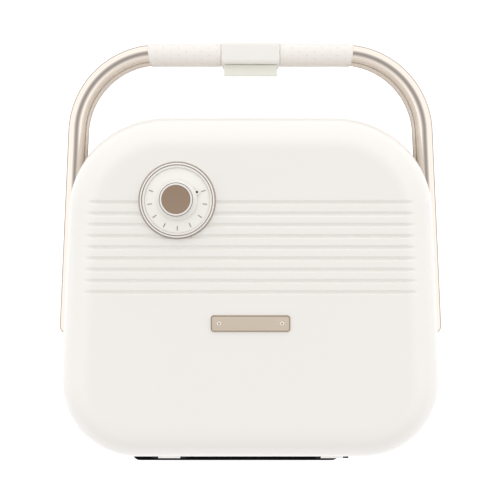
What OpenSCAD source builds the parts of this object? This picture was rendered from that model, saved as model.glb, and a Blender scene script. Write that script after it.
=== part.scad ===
// Sandwich toaster of the suitcase kind, lying flat and closed.
// X runs across it, Y from the handle at the front to the hinge at the rear, Z up from the table.
// The origin is on the table, under the middle of the whole.

/* [Body] */
// Width of the body at its widest
body_w = 255.4; // [246:0.1:270]
// Depth of the body from its front edge to its hinge edge
body_d = 229.5; // [226:0.1:246]
// How much each side draws in between the rear corners and the front ones
side_taper = 4.9; // [3:0.1:6]
// Radius of the two front corners, seen from above
front_corner_r = 66.1; // [60:0.1:70]
// Radius of the two corners at the hinge edge
rear_corner_r = 51.3; // [44:0.1:56]
// Height of the lid above the parting line
lid_h = 50; // [49:0.5:60]
// Height of the base below the parting line
base_h = 54; // [50:0.5:64]
// Rounding of the lid's upper edge
lid_edge_r = 24; // [18:0.5:27]
// Rounding of the base's lower edge
base_edge_r = 20; // [14:0.5:24]
// Wall of the two shells
shell_wall = 2.6; // [2.2:0.1:3]
// Gap between the closed halves
parting_gap = 0.8; // [0.6:0.1:1]

/* [Lid face] */
// Number of grooves across the lid
groove_count = 9; // [3:1:10]
// Spacing of the grooves
groove_pitch = 7.38; // [6.5:0.01:8]
// Width of a groove
groove_w = 2.8; // [2:0.1:4]
// Depth of a groove
groove_depth = 1.3; // [0.6:0.1:1.6]
// Distance from the body's front edge to the first groove
groove_from_front = 58.95; // [54:0.05:64]
// Length of the nameplate
nameplate_w = 52.2; // [44:0.1:60]
// Width of the nameplate
nameplate_d = 10.9; // [9:0.1:14]
// Thickness of the nameplate
nameplate_t = 1.1; // [0.8:0.1:1.6]
// Distance from the body's front edge to the middle of the nameplate
nameplate_from_front = 138.35; // [134:0.05:150]
// Radius of a rivet's head
rivet_r = 1.5; // [1.2:0.1:2]

/* [Timer dial] */
// Distance of the dial from the middle of the lid
dial_x = 48; // [44:0.5:54]
// Distance from the body's front edge to the middle of the dial
dial_from_front = 57.65; // [54:0.05:64]
// Outer radius of the dial's bezel
bezel_r = 25.5; // [24:0.1:28]
// Width of the bezel ring
bezel_w = 4; // [3.4:0.1:5]
// Height of the bezel over the lid
bezel_h = 4; // [3:0.1:6]
// Thickness of the printed dial plate
dial_t = 1.6; // [1:0.1:2]
// Number of ticks on the dial
tick_count = 9; // [5:1:11]
// Turn of the dial from one tick to the next, in degrees
tick_step = 27.5; // [20:0.5:30]
// Radius of the knob's skirt
knob_skirt_r = 13.2; // [12.8:0.1:14]
// Radius of the knob's grip
knob_r = 11; // [10:0.1:12]
// Height of the knob over the lid
knob_h = 16; // [12:0.5:20]
// Radius of the disc set in the knob's top
cap_r = 9.4; // [8:0.1:9.6]
// Radius of the timer's shaft
shaft_r = 3; // [2.5:0.1:3.5]
// Radius of the clockwork timer inside the lid
timer_r = 21; // [18:0.5:24]
// Height of the clockwork timer
timer_h = 19; // [14:0.5:20]

/* [Handle] */
// Distance from the front of the grips to the body's front edge
handle_reach = 53.3; // [48:0.1:64]
// Radius of each handle bar
bar_r = 6; // [5.5:0.1:6.4]
// Wall of the bar's tube
bar_wall = 1.5; // [1.2:0.1:2]
// Bend radius of the bar's corners, at the middle of the bar
bar_bend_r = 56; // [48:0.5:60]
// How far the bars stand out of the body's widest point
bar_proud = 4.4; // [3:0.1:5]
// Height of each bar's middle over or under the parting line
bar_rise = 7.5; // [7.3:0.1:8]
// Distance from the front of the grips to the middle of a bar's rear end
bar_reach = 196.3; // [186:0.1:204]
// Radius of the grip sleeves
grip_r = 7; // [6.7:0.1:7.2]
// How far the sleeves' ends follow the bend, in degrees
grip_bend = 6.5; // [3:0.5:10]
// Width of the clip between the sleeves
clip_w = 40; // [36:0.5:44]

/* [Latch] */
// Width of the latch's finger lip
lip_w = 36.8; // [30:0.2:38]
// Swing of the latch from free to hooked, in degrees
latch_swing = 8; // [7:0.5:10]
// Radius of the latch pin
latch_pin_r = 1.25; // [1:0.05:1.4]

/* [Hinge] */
// Distance of each hinge knuckle from the middle
hinge_x = 56.7; // [48:0.1:60]
// Width of a knuckle on the lid
knuckle_w = 15.4; // [12:0.2:18]
// Radius of the knuckles
knuckle_r = 5.6; // [5:0.1:5.7]
// Width of an ear on the base
ear_w = 3.4; // [3:0.1:4]
// Radius of the hinge pins
hinge_pin_r = 1.5; // [1.2:0.1:1.8]

/* [Plates] */
// Distance from the body's sides to a plate's sides
plate_from_side = 19.7; // [19:0.1:24]
// Distance from the body's front edge to a plate's front edge
plate_from_front = 45.3; // [44:0.1:50]
// Distance from the body's hinge edge to a plate's rear edge
plate_from_rear = 40.4; // [40:0.1:48]
// Thickness of a plate
plate_t = 2.6; // [2:0.1:3]
// Depth of a sandwich pocket
pocket_depth = 9; // [7:0.5:10]
// Width of the land between the plate's middle and a pocket
pocket_land = 5; // [4:0.5:8]
// Width of the plate's edge beside a pocket
pocket_side = 7; // [6:0.5:12]
// Width of the plate's edge before and behind a pocket
pocket_end = 12; // [10:0.5:18]
// Height of the ridge that halves a pocket
ridge_h = 7; // [4:0.5:8]
// Radius of the heating rod
heater_r = 3.25; // [3:0.05:3.6]

/* [Base] */
// Height of the feet
foot_h = 6; // [4:0.5:10]
// Radius of a foot
foot_r = 9; // [7:0.5:10]
// How far the storage stand reaches behind the body
stand_proud = 8.8; // [6:0.1:12]
// Height of the storage stand
stand_h = 34; // [24:0.5:36]
// How far the stand's longer end goes past the rear corner's centre
stand_over = 6.6; // [2:0.2:12]
// How far the stand's shorter end stops before the rear corner's centre
stand_under = 14; // [13.8:0.2:20]
// Radius of the cord's hole in the gland
gland_bore_r = 3.5; // [3:0.1:4]

/* [Hidden] */
$fn = 48;

// Places along Y, from the whole length, so that the whole is centred
whole_l = handle_reach + body_d + stand_proud;
front_y = -whole_l / 2 + handle_reach;
rear_y = front_y + body_d;
part_z = foot_h + base_h;
rim = parting_gap / 2;
fit_gap = 0.4;
run_gap = 0.05;

// The outline's corners as [x, y, radius], front pair first
front_cx = body_w / 2 - side_taper - front_corner_r;
front_cy = front_y + front_corner_r;
rear_cx = body_w / 2 - rear_corner_r;
rear_cy = rear_y - rear_corner_r;
corners = [
    [-front_cx, front_cy, front_corner_r], [front_cx, front_cy, front_corner_r],
    [rear_cx, rear_cy, rear_corner_r], [-rear_cx, rear_cy, rear_corner_r]
];

// The handle's path: two legs along the sides and a run across the front
bar_run_y = -whole_l / 2 + grip_r;
bar_tip_y = -whole_l / 2 + bar_reach;
bar_tip_x = body_w / 2 + bar_proud - bar_r;
bar_slope = side_taper / (rear_cy - front_cy);
bar_corner_x = bar_tip_x - (bar_tip_y - bar_run_y) * bar_slope;
bar_lean = atan(bar_slope);
bar_path = [
    [-bar_tip_x, bar_tip_y], [-bar_corner_x, bar_run_y], [bar_corner_x, bar_run_y], [bar_tip_x, bar_tip_y]
];
bar_bend_x = bar_corner_x - bar_bend_r * tan((90 - bar_lean) / 2);
bar_gap = 1;
channel_r = bar_r + bar_gap;
bar_screw_spots = [0.5, 0.85];
bar_screw_r = 1.6;
bar_head_r = 3;
bar_head_t = 1.9;

// Inner pieces, as distances from the parting line
frame_z = rim + 0.2;
frame_t = 2.4;
frame_back = frame_z + frame_t;
flange_z = frame_z + plate_t;
sheet_t = 0.8;
ledge = 3;
pocket_floor = frame_z + pocket_depth;
plate_back = pocket_floor + plate_t;
heater_z = plate_back + 0.25 + heater_r;
reflector_floor = heater_z + heater_r + 2.6;
reflector_back = reflector_floor + sheet_t;
plate_w = body_w - 2 * plate_from_side;
plate_d = body_d - plate_from_front - plate_from_rear;
plate_front = front_y + plate_from_front;
plate_rear = plate_front + plate_d;
plate_y = plate_front + plate_d / 2;
plate_corner_r = 10;
plate_gap = 0.5;
pocket_w = plate_w / 2 - pocket_land - pocket_side;
pocket_l = plate_d - 2 * pocket_end;
pocket_x = pocket_land + pocket_w / 2;
pocket_slope = 3;
ridge_ends = 16;

// The heating rod's loops
heater_in = 26;
heater_tail_x = 22;
heater_bend_r = 11;
heater_end = 6;
strap_t = 1.2;
strap_w = 10;
strap_reach = 8;

// Screws that hold each frame to its shell
screw_to_front = 22.2;
screw_to_rear = 14.1;
screw_out_front = 4;
screw_out_rear = 12;
frame_screw_spots = [
    for (sx = [-1, 1]) each [
        [sx * (front_cx + screw_out_front), plate_front - screw_to_front],
        [sx * (rear_cx + screw_out_rear), plate_rear + screw_to_rear]
    ]
];
screw_r = 1.5;
screw_head_r = 2.8;
screw_l = 12;
boss_r = 3.8;

// Plate release: a lever in front of each plate, whose nose holds the plate's tab
release_y = plate_front - 4.8;
release_z = 9;
release_w = 22;
release_pin_r = 1;
release_shelf = 12;
spring_ahead = 9.5;
pad_back = 2.6;
tab_z = frame_z + 3.2;
tab_t = 2;
tab_reach = 4.5;
tab_w = 20;
tab_gap = 1;
rear_tab_x = 52;
rear_tab_w = 16;
rear_tab_reach = 3.5;
release_gap = 0.6;
cheek_t = 2;

// Latch: a lever on the lid's clip, whose hook goes under the rib of the base's clip
clip_back = bar_run_y + grip_r + 1;
clip_face_z = 0.6;
clip_t = bar_rise + grip_r + 0.6;
latch_y = clip_back + 3.1;
latch_z = 3;
latch_barrel_r = 2.6;
lug_w = 2.8;
lug_out = lip_w / 2 - 1;
hook_w = 24;
rib_z = 7.5;
rib_t = 2.4;
rib_proud = 1.2;
hook_z = -latch_z - rib_z - fit_gap;

// Hinge
hinge_y = rear_y + 0.6;
notch_gap = 0.8;
notch_r = knuckle_r + notch_gap;
notch_w = knuckle_w + 2 * ear_w + 3 * fit_gap;
notch_d = 9;
leaf_d = notch_d - fit_gap;
leaf_t = 3;
leaf_h = 12;
leaf_lift = 1;

// Timer, over the parting line
dial_y = front_y + dial_from_front;
first_tick = 200;
tick_r = 16.4;
tick_l = 3.2;
tick_w = 0.5;
tick_h = 0.2;
pointer_angle = 202.7;
pointer_r = 1.9;
dial_gap = 0.1;
cap_seat = 1.2;
cap_t = 1;

// Base pieces
foot_spots = [
    [-front_cx - 23, front_cy - 25], [front_cx + 23, front_cy - 25],
    [rear_cx + 12, rear_cy + 13], [-rear_cx - 12, rear_cy + 13]
];
cover_w = 150;
cover_d = 110;
cover_y = (front_y + rear_y) / 2;
cover_seat = 1;
cover_screw_in = 7;
cover_screw_l = 8;
cover_screw_spots = [
    for (sx = [-1, 1], sy = [-1, 1])
        [sx * (cover_w / 2 - cover_screw_in), cover_y + sy * (cover_d / 2 - cover_screw_in)]
];
window_in = 14;
slot_pitch = 9;
slot_w = 3;
slot_l = 60;
stand_long = rear_cx + stand_over;
stand_short = rear_cx - stand_under;
stand_w = stand_long + stand_short;
stand_x = (stand_long - stand_short) / 2;
stand_top = 6;
stand_wall = 3;
stand_corner_r = 5;
foot_stem_r = 2;
gland_x = -stand_short - 9.4;
gland_z = 26;
gland_l = 11.3;
wall_gap = 0.15;
gland_neck_r = 5.5;
block_w = 34;
block_d = 14;
block_h = 12;
block_x = 35;
block_from_rear = 31;
fuse_x = 36;

// ---------- shared shapes ----------

module on_lid() {
    translate([0, 0, part_z]) children();
}

module on_base() {
    translate([0, 0, part_z]) mirror([0, 0, 1]) children();
}

module both_sides() {
    children();
    mirror([1, 0, 0]) children();
}

// Half section of a disc with a rounded upper edge
function edge_profile(r, h, e) = concat(
    [[0, 0], [r, 0]],
    [for (a = [0 : 7.5 : 90]) [r - e + e * cos(a), h - e + e * sin(a)]],
    [[0, h]]
);

// The body's outline, drawn in by an inset
module outline(inset) {
    hull() for (c = corners) translate([c[0], c[1]]) circle(c[2] - inset);
}

// The body's outline raised to a height, with its upper edge rounded
module rounded_block(inset, height, edge_r) {
    hull() for (c = corners) translate([c[0], c[1], 0])
        rotate_extrude() polygon(edge_profile(c[2] - inset, height, edge_r));
}

module rounded_rect(w, d, r) {
    offset(r) square([w - 2 * r, d - 2 * r], center = true);
}

// A rod along a flat path with round bends
function heading(a, b) = atan2(b[1] - a[1], b[0] - a[0]);
function wrapped(a) = a > 180 ? a - 360 : (a < -180 ? a + 360 : a);
function turn(p, i) = wrapped(heading(p[i], p[i + 1]) - heading(p[i - 1], p[i]));
function cut_back(p, i, bend_r) = i == 0 || i == len(p) - 1 ? 0 : bend_r * tan(abs(turn(p, i)) / 2);

// Carries the flat section in children() along the path: its x is sideways and its y is up
module along_path(path, bend_r, trim = 0) {
    last = len(path) - 2;
    for (i = [0 : last]) {
        from = cut_back(path, i, bend_r) + (i == 0 ? trim : 0);
        to = norm(path[i + 1] - path[i]) - cut_back(path, i + 1, bend_r) - (i == last ? trim : 0);
        translate([path[i][0], path[i][1], 0])
            rotate([0, 0, heading(path[i], path[i + 1])])
                translate([from, 0, 0]) rotate([90, 0, 90]) linear_extrude(to - from) children();
    }
    for (i = [1 : last]) {
        side = sign(turn(path, i));
        before = heading(path[i - 1], path[i]);
        start = side > 0 ? before - 90 : before + 90 + turn(path, i);
        back = cut_back(path, i, bend_r);
        centre = path[i] - back * [cos(before), sin(before)] + side * bend_r * [-sin(before), cos(before)];
        translate([centre[0], centre[1], 0]) rotate([0, 0, start])
            rotate_extrude(angle = abs(turn(path, i))) translate([bend_r, 0]) children();
    }
}

// A coil spring along Z, one unbroken tube
function coil_at(r, pitch, a) = [r * cos(a), r * sin(a), pitch * a / 360];

module coil_spring(r, wire_r, length, turns) {
    sides = 6;
    per_turn = 8;
    rings = turns * per_turn;
    pitch = (length - 2 * wire_r) / turns;
    rise = atan(pitch / (2 * PI * r));
    points = [
        for (i = [0 : rings], k = [0 : sides - 1])
            let (a = i * 360 / per_turn, b = k * 360 / sides, c = coil_at(r, pitch, a))
                c + wire_r * [
                    cos(b) * cos(a) + sin(b) * sin(rise) * sin(a),
                    cos(b) * sin(a) - sin(b) * sin(rise) * cos(a),
                    sin(b) * cos(rise)
                ] + [0, 0, wire_r]
    ];
    walls = [
        for (i = [0 : rings - 1], k = [0 : sides - 1])
            let (n = (k + 1) % sides, a = i * sides, b = a + sides)
                each [[a + k, b + k, b + n], [a + k, b + n, a + n]]
    ];
    ends = [
        for (k = [1 : sides - 2])
            let (last = rings * sides) each [[0, k, k + 1], [last, last + k + 1, last + k]]
    ];
    polyhedron(points, concat(walls, ends));
}

// A screw along Z: flat head at the top, shank below
module screw(length, head_r = screw_head_r, shank_r = screw_r) {
    translate([0, 0, -length]) cylinder(r = shank_r, h = length);
    translate([0, 0, -1.4]) cylinder(r1 = shank_r + 0.2, r2 = head_r, h = 1.4);
}

// ---------- shells ----------

// Room for a handle leg in the side of one half, open outward and at the parting line
module handle_channels(r, past) {
    arc = [for (a = [90 : 15 : 180]) [r * cos(a), bar_rise + r * sin(a)]];
    run = norm([bar_tip_x - bar_corner_x, bar_tip_y - bar_run_y]);
    both_sides()
        translate([bar_corner_x, bar_run_y, 0]) rotate([0, 0, -bar_lean]) rotate([90, 0, 0])
            translate([0, 0, -run - past]) linear_extrude(run + past)
                polygon(concat([[40, bar_rise + r]], arc, [[-r, -5], [40, -5]]));
}

module hinge_notches() {
    both_sides() {
        translate([hinge_x, hinge_y, 0]) rotate([0, 90, 0]) cylinder(r = notch_r, h = notch_w, center = true);
        translate([hinge_x - notch_w / 2, hinge_y - notch_d, -notch_r])
            cube([notch_w, notch_d + 1, 2 * notch_r]);
    }
}

module frame_bosses() {
    for (s = frame_screw_spots) translate([s[0], s[1], frame_back]) cylinder(r = boss_r, h = 100);
}

module bar_screw_holes(r) {
    for (f = bar_screw_spots) both_sides()
        translate([
            bar_tip_x - (1 - f) * (bar_tip_y - front_cy) * bar_slope - channel_r - 6,
            front_cy + f * (bar_tip_y - front_cy), bar_rise
        ])
            rotate([0, 90, 0]) cylinder(r = r, h = channel_r + 6);
}

module half_shell(height, edge_r) {
    difference() {
        translate([0, 0, rim]) rounded_block(0, height - rim, edge_r);
        difference() {
            translate([0, 0, -1]) rounded_block(shell_wall, height - shell_wall + 1, edge_r - shell_wall);
            handle_channels(channel_r + shell_wall, bar_r + bar_gap + shell_wall);
            frame_bosses();
        }
        handle_channels(channel_r, bar_r + bar_gap);
        hinge_notches();
        bar_screw_holes(bar_screw_r + run_gap);
        for (s = frame_screw_spots) translate([s[0], s[1], 0])
            cylinder(r = screw_r + run_gap, h = frame_back + screw_l);
    }
}

module lid_shell() {
    color([0.95, 0.94, 0.92]) on_lid() difference() {
        half_shell(lid_h, lid_edge_r);
        for (i = [0 : groove_count - 1])
            translate([0, front_y + groove_from_front + i * groove_pitch, lid_h])
                rotate([90, 0, 90]) linear_extrude(body_w, center = true)
                    polygon([
                        [-groove_w / 2, 1], [-groove_w / 2, 0], [-groove_w / 5, -groove_depth],
                        [groove_w / 5, -groove_depth], [groove_w / 2, 0], [groove_w / 2, 1]
                    ]);
        translate([dial_x, dial_y, lid_h - 10]) cylinder(r = shaft_r + 2, h = 20);
    }
}

module base_shell() {
    color([0.95, 0.94, 0.92]) on_base() difference() {
        half_shell(base_h, base_edge_r);
        translate([0, cover_y, base_h - 10]) linear_extrude(20)
            rounded_rect(cover_w - 2 * window_in, cover_d - 2 * window_in, 6);
        translate([0, cover_y, base_h - cover_seat]) linear_extrude(2 * cover_seat)
            rounded_rect(cover_w, cover_d, 8);
        for (s = cover_screw_spots) translate([s[0], s[1], base_h - 10])
            cylinder(r = screw_r + run_gap, h = 20);
        translate([gland_x, rear_y - 10, gland_z]) rotate([-90, 0, 0])
            cylinder(r = gland_neck_r + run_gap, h = 20);
        for (s = foot_spots) translate([s[0], s[1], base_h - 10])
            cylinder(r = foot_stem_r + run_gap, h = 20);
    }
}

// ---------- frames, plates and heaters ----------

module half_frame() {
    difference() {
        union() {
            difference() {
                translate([0, 0, frame_z]) linear_extrude(frame_t) outline(shell_wall + fit_gap);
                translate([0, plate_y, 0]) linear_extrude(10) offset(plate_gap)
                    rounded_rect(plate_w, plate_d, plate_corner_r);
                translate([-release_w / 2 - release_gap, release_y - 13.8, 0])
                    cube([release_w + 2 * release_gap, 20, 10]);
                for (s = frame_screw_spots) translate([s[0], s[1], frame_z + 1.44]) mirror([0, 0, 1])
                    cylinder(r1 = screw_r + 0.3, r2 = screw_head_r + 0.1, h = 1.5);
            }
            release_bracket();
        }
        handle_channels(channel_r + shell_wall + fit_gap, bar_r + bar_gap + shell_wall + fit_gap);
        both_sides() translate([hinge_x - notch_w / 2 - fit_gap, hinge_y - notch_d - fit_gap, 0])
            cube([notch_w + 2 * fit_gap, 20, 10]);
        for (s = frame_screw_spots) translate([s[0], s[1], 0]) cylinder(r = screw_r + run_gap, h = 10);
    }
}

// Two cheeks behind the frame that carry the release lever's pin, and the shelf for its spring
module release_bracket() {
    difference() {
        both_sides() translate([release_w / 2 + release_gap, 0, 0]) rotate([90, 0, 90])
            linear_extrude(cheek_t)
            polygon([
                [release_y - 14.4, frame_z], [release_y + 3, frame_z], [release_y + 3, release_z + 2.4],
                [release_y - 4, release_shelf + 1.4], [release_y - 14.4, release_shelf + 1.4]
            ]);
        translate([0, release_y, release_z]) rotate([0, 90, 0])
            cylinder(r = release_pin_r + run_gap, h = release_w + 20, center = true);
    }
    translate([-release_w / 2 - 1, release_y - 14.4, release_shelf]) cube([release_w + 2, 8, 1.4]);
}

module release_lever() {
    difference() {
        rotate([90, 0, 90]) linear_extrude(release_w, center = true)
            translate([release_y, 0]) polygon([
                [-13, frame_z + 0.6], [2.5, frame_z + 0.6], [2.5, frame_z + 2.8], [-0.8, frame_z + 2.8],
                [-0.8, release_z - 1.6], [1.2, release_z - 1.6], [2, release_z], [1.2, release_z + 1.6],
                [-1.2, release_z + 2], [-3.4, release_z],
                [-3.4, frame_z + pad_back], [-13, frame_z + pad_back]
            ]);
        translate([0, release_y, release_z]) rotate([0, 90, 0])
            cylinder(r = release_pin_r + run_gap, h = release_w + 20, center = true);
    }
}

module release_pin() {
    translate([0, release_y, release_z]) rotate([0, 90, 0])
        cylinder(r = release_pin_r, h = release_w + 7, center = true);
}

module release_spring() {
    seat = frame_z + pad_back + 0.02;
    translate([0, release_y - spring_ahead, seat]) coil_spring(1.9, 0.35, release_shelf - seat - 0.02, 5);
}

module pocket(w, l, depth, r) {
    hull() {
        linear_extrude(0.01) rounded_rect(w, l, r);
        translate([0, 0, depth - 0.01]) linear_extrude(0.01)
            rounded_rect(w - 2 * pocket_slope, l - 2 * pocket_slope, r - pocket_slope / 2);
    }
}

// A baking plate: rim, two pockets halved by a slanted ridge, and tabs at its front and rear
module half_plate() {
    ridge_l = norm([pocket_w, pocket_l]) - ridge_ends;
    difference() {
        union() {
            translate([0, plate_y, frame_z]) linear_extrude(plate_t)
                rounded_rect(plate_w, plate_d, plate_corner_r);
            both_sides() translate([pocket_x, plate_y, frame_z])
                pocket(pocket_w + 2 * plate_t, pocket_l + 2 * plate_t, pocket_depth + plate_t, 9);
            translate([-tab_w / 2, plate_front - tab_reach, tab_z]) cube([tab_w, tab_reach + 3, tab_t]);
            translate([-tab_w / 2, plate_front, frame_z + 1]) cube([tab_w, 2.4, tab_z - frame_z + 0.5]);
            both_sides() {
                translate([rear_tab_x, plate_rear - 3, tab_z]) cube([rear_tab_w, 3 + rear_tab_reach, tab_t]);
                translate([rear_tab_x, plate_rear - 2.4, frame_z + 1])
                    cube([rear_tab_w, 2.4, tab_z - frame_z + 0.5]);
            }
        }
        both_sides() translate([pocket_x, plate_y, frame_z - 0.01])
            pocket(pocket_w, pocket_l, pocket_depth + 0.01, 7);
    }
    both_sides() translate([pocket_x, plate_y, 0]) rotate([0, 0, atan2(pocket_l, pocket_w)])
        rotate([90, 0, 90]) linear_extrude(ridge_l, center = true)
            polygon([
                [-4.4, pocket_floor + 0.4], [-1, pocket_floor - ridge_h], [1, pocket_floor - ridge_h],
                [4.4, pocket_floor + 0.4]
            ]);
}

// The heating rod: a loop under both pockets, with its ends at the rear
function heater_path() = let (
    w = plate_w / 2 - heater_in, f = plate_front + heater_in, r = plate_rear - heater_in,
    tail = heater_tail_x, loop = tail + 2 * heater_bend_r + 4, bay = f + 2 * heater_bend_r + 18
) [
    [-tail, plate_rear - heater_end], [-tail, bay], [-loop, bay], [-loop, r], [-w, r], [-w, f],
    [w, f], [w, r], [loop, r], [loop, bay], [tail, bay], [tail, plate_rear - heater_end]
];

module half_heater() {
    translate([0, 0, heater_z]) along_path(heater_path(), heater_bend_r) circle(heater_r);
}

// Straps that hold the rod down on the reflector
module heater_clamps() {
    w = plate_w / 2 - heater_in;
    strap_z = heater_z - heater_r - 0.2;
    for (x = [-w, w]) translate([x, plate_y, 0]) difference() {
        union() {
            translate([-heater_r - strap_t, -strap_w / 2, strap_z])
                cube([2 * (heater_r + strap_t), strap_w, reflector_floor - strap_z]);
            translate([-heater_r - strap_reach, -strap_w / 2, reflector_floor - 1])
                cube([2 * (heater_r + strap_reach), strap_w, 1]);
        }
        translate([0, 0, heater_z]) rotate([90, 0, 0])
            cylinder(r = heater_r + run_gap, h = 2 * strap_w, center = true);
        translate([-heater_r - run_gap, -strap_w, heater_z]) cube([2 * (heater_r + run_gap), 2 * strap_w, 20]);
    }
}

// Bright steel pan behind the heater, with a flange between frame and plate
module half_reflector() {
    in_w = plate_w - 2 * ledge;
    in_d = plate_d - 2 * ledge;
    difference() {
        union() {
            translate([0, plate_y, flange_z]) linear_extrude(sheet_t)
                rounded_rect(plate_w + 2 * ledge, plate_d + 2 * ledge, plate_corner_r + ledge);
            translate([0, plate_y, flange_z]) linear_extrude(reflector_back - flange_z)
                rounded_rect(in_w + 2 * sheet_t, in_d + 2 * sheet_t, plate_corner_r);
        }
        translate([0, plate_y, flange_z - 1]) linear_extrude(reflector_floor - flange_z + 1)
            rounded_rect(in_w, in_d, plate_corner_r - sheet_t);
        translate([-release_w / 2 - 4, plate_front - 20, flange_z - 1])
            cube([release_w + 8, 20 + ledge + 1, 4]);
        both_sides() translate([rear_tab_x - tab_gap, plate_rear - ledge - 1, flange_z - 1])
            cube([rear_tab_w + 2 * tab_gap, 20, 4]);
        for (x = [-heater_tail_x, heater_tail_x]) translate([x, plate_rear - 20, heater_z])
            rotate([-90, 0, 0]) cylinder(r = heater_r + 0.6, h = 30);
    }
}

module frame_screws() {
    for (s = frame_screw_spots) translate([s[0], s[1], frame_z]) mirror([0, 0, 1]) screw(screw_l);
}

module upper_frame() { color([0.16, 0.15, 0.15]) on_lid() half_frame(); }
module lower_frame() { color([0.16, 0.15, 0.15]) on_base() half_frame(); }
module upper_frame_screws() { color([0.7, 0.7, 0.72]) on_lid() frame_screws(); }
module lower_frame_screws() { color([0.7, 0.7, 0.72]) on_base() frame_screws(); }
module upper_plate() { color([0.2, 0.19, 0.19]) on_lid() half_plate(); }
module lower_plate() { color([0.2, 0.19, 0.19]) on_base() half_plate(); }
module upper_heater() { color([0.45, 0.42, 0.4]) on_lid() half_heater(); }
module lower_heater() { color([0.45, 0.42, 0.4]) on_base() half_heater(); }
module upper_heater_clamps() { color([0.75, 0.75, 0.77]) on_lid() heater_clamps(); }
module lower_heater_clamps() { color([0.75, 0.75, 0.77]) on_base() heater_clamps(); }
module upper_reflector() { color([0.82, 0.82, 0.84]) on_lid() half_reflector(); }
module lower_reflector() { color([0.82, 0.82, 0.84]) on_base() half_reflector(); }
module upper_release_lever() { color([0.3, 0.29, 0.28]) on_lid() release_lever(); }
module lower_release_lever() { color([0.3, 0.29, 0.28]) on_base() release_lever(); }
module upper_release_pin() { color([0.75, 0.75, 0.77]) on_lid() release_pin(); }
module lower_release_pin() { color([0.75, 0.75, 0.77]) on_base() release_pin(); }
module upper_release_spring() { color([0.75, 0.75, 0.77]) on_lid() release_spring(); }
module lower_release_spring() { color([0.75, 0.75, 0.77]) on_base() release_spring(); }

// ---------- handle and latch ----------

// The bar's path as points [x, y, heading], with its corners rounded
function bend_points(p, i, bend_r, steps) = let (
    before = heading(p[i - 1], p[i]), t = turn(p, i), side = sign(t),
    foot = p[i] - cut_back(p, i, bend_r) * [cos(before), sin(before)],
    centre = foot + side * bend_r * [-sin(before), cos(before)]
) [
    for (k = [0 : steps]) let (a = before + t * k / steps)
        [centre[0] + side * bend_r * sin(a), centre[1] - side * bend_r * cos(a), a]
];

function path_points(p, bend_r, steps) = concat(
    [[p[0][0], p[0][1], heading(p[0], p[1])]],
    [for (i = [1 : len(p) - 2]) each bend_points(p, i, bend_r, steps)],
    [[p[len(p) - 1][0], p[len(p) - 1][1], heading(p[len(p) - 2], p[len(p) - 1])]]
);

// A bent tube, open at its two ends
module swept_tube(stops, r_out, r_in, sides = 24) {
    n = len(stops);
    points = [
        for (r = [r_out, r_in], s = stops, k = [0 : sides - 1]) let (b = k * 360 / sides)
            [s[0] + r * cos(b) * sin(s[2]), s[1] - r * cos(b) * cos(s[2]), r * sin(b)]
    ];
    inner = n * sides;
    walls = [
        for (i = [0 : n - 2], k = [0 : sides - 1])
            let (m = (k + 1) % sides, a = i * sides, b = a + sides)
                each [
                    [a + k, b + m, b + k], [a + k, a + m, b + m],
                    [inner + a + k, inner + b + k, inner + b + m],
                    [inner + a + k, inner + b + m, inner + a + m]
                ]
    ];
    last = (n - 1) * sides;
    rims = [
        for (k = [0 : sides - 1]) let (m = (k + 1) % sides)
            each [
                [k, inner + m, m], [k, inner + k, inner + m],
                [last + k, last + m, inner + last + m], [last + k, inner + last + m, inner + last + k]
            ]
    ];
    polyhedron(points, concat(walls, rims));
}

// One bent tube, open at its two ends, with holes for its screws
module half_bar() {
    difference() {
        translate([0, 0, bar_rise])
            swept_tube(path_points(bar_path, bar_bend_r, 12), bar_r, bar_r - bar_wall);
        bar_screw_holes(bar_screw_r + run_gap);
    }
}

// Rounded plugs in the tube's ends
module bar_caps() {
    dome_l = 5.4;
    plug_l = 8;
    plug_r = bar_r - bar_wall - run_gap;
    both_sides() translate([bar_tip_x, bar_tip_y, bar_rise]) rotate([0, 0, -bar_lean]) rotate([-90, 0, 0])
        rotate_extrude() polygon(concat(
            [[0, -plug_l], [plug_r, -plug_l], [plug_r, 0]],
            [for (a = [0 : 10 : 90]) [bar_r * cos(a), dome_l * sin(a)]]
        ));
}

module half_grips() {
    both_sides() translate([0, 0, bar_rise]) {
        translate([clip_w / 2 + 0.2, bar_run_y, 0]) rotate([0, 90, 0]) difference() {
            cylinder(r = grip_r, h = bar_bend_x - clip_w / 2 - 0.2);
            translate([0, 0, -1]) cylinder(r = bar_r + run_gap, h = bar_bend_x);
        }
        translate([bar_bend_x, bar_run_y + bar_bend_r, 0]) rotate([0, 0, -90])
            rotate_extrude(angle = grip_bend) translate([bar_bend_r, 0]) difference() {
                circle(grip_r);
                circle(bar_r + run_gap);
            }
    }
}

module bar_screws() {
    for (f = bar_screw_spots) both_sides()
        translate([
            bar_tip_x - (1 - f) * (bar_tip_y - front_cy) * bar_slope - channel_r - shell_wall - 2,
            front_cy + f * (bar_tip_y - front_cy), bar_rise
        ])
            rotate([0, 90, 0]) {
                cylinder(r = bar_head_r, h = bar_head_t);
                cylinder(r = bar_screw_r, h = shell_wall + channel_r);
            }
}

// A block round the bar's middle
module clip_block() {
    rotate([90, 0, 90]) linear_extrude(clip_w, center = true) difference() {
        translate([(bar_run_y - grip_r + clip_back) / 2, (clip_face_z + clip_t) / 2])
            rounded_rect(clip_back - bar_run_y + grip_r, clip_t - clip_face_z, 3);
        translate([bar_run_y, bar_rise]) circle(bar_r + run_gap);
    }
}

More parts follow.
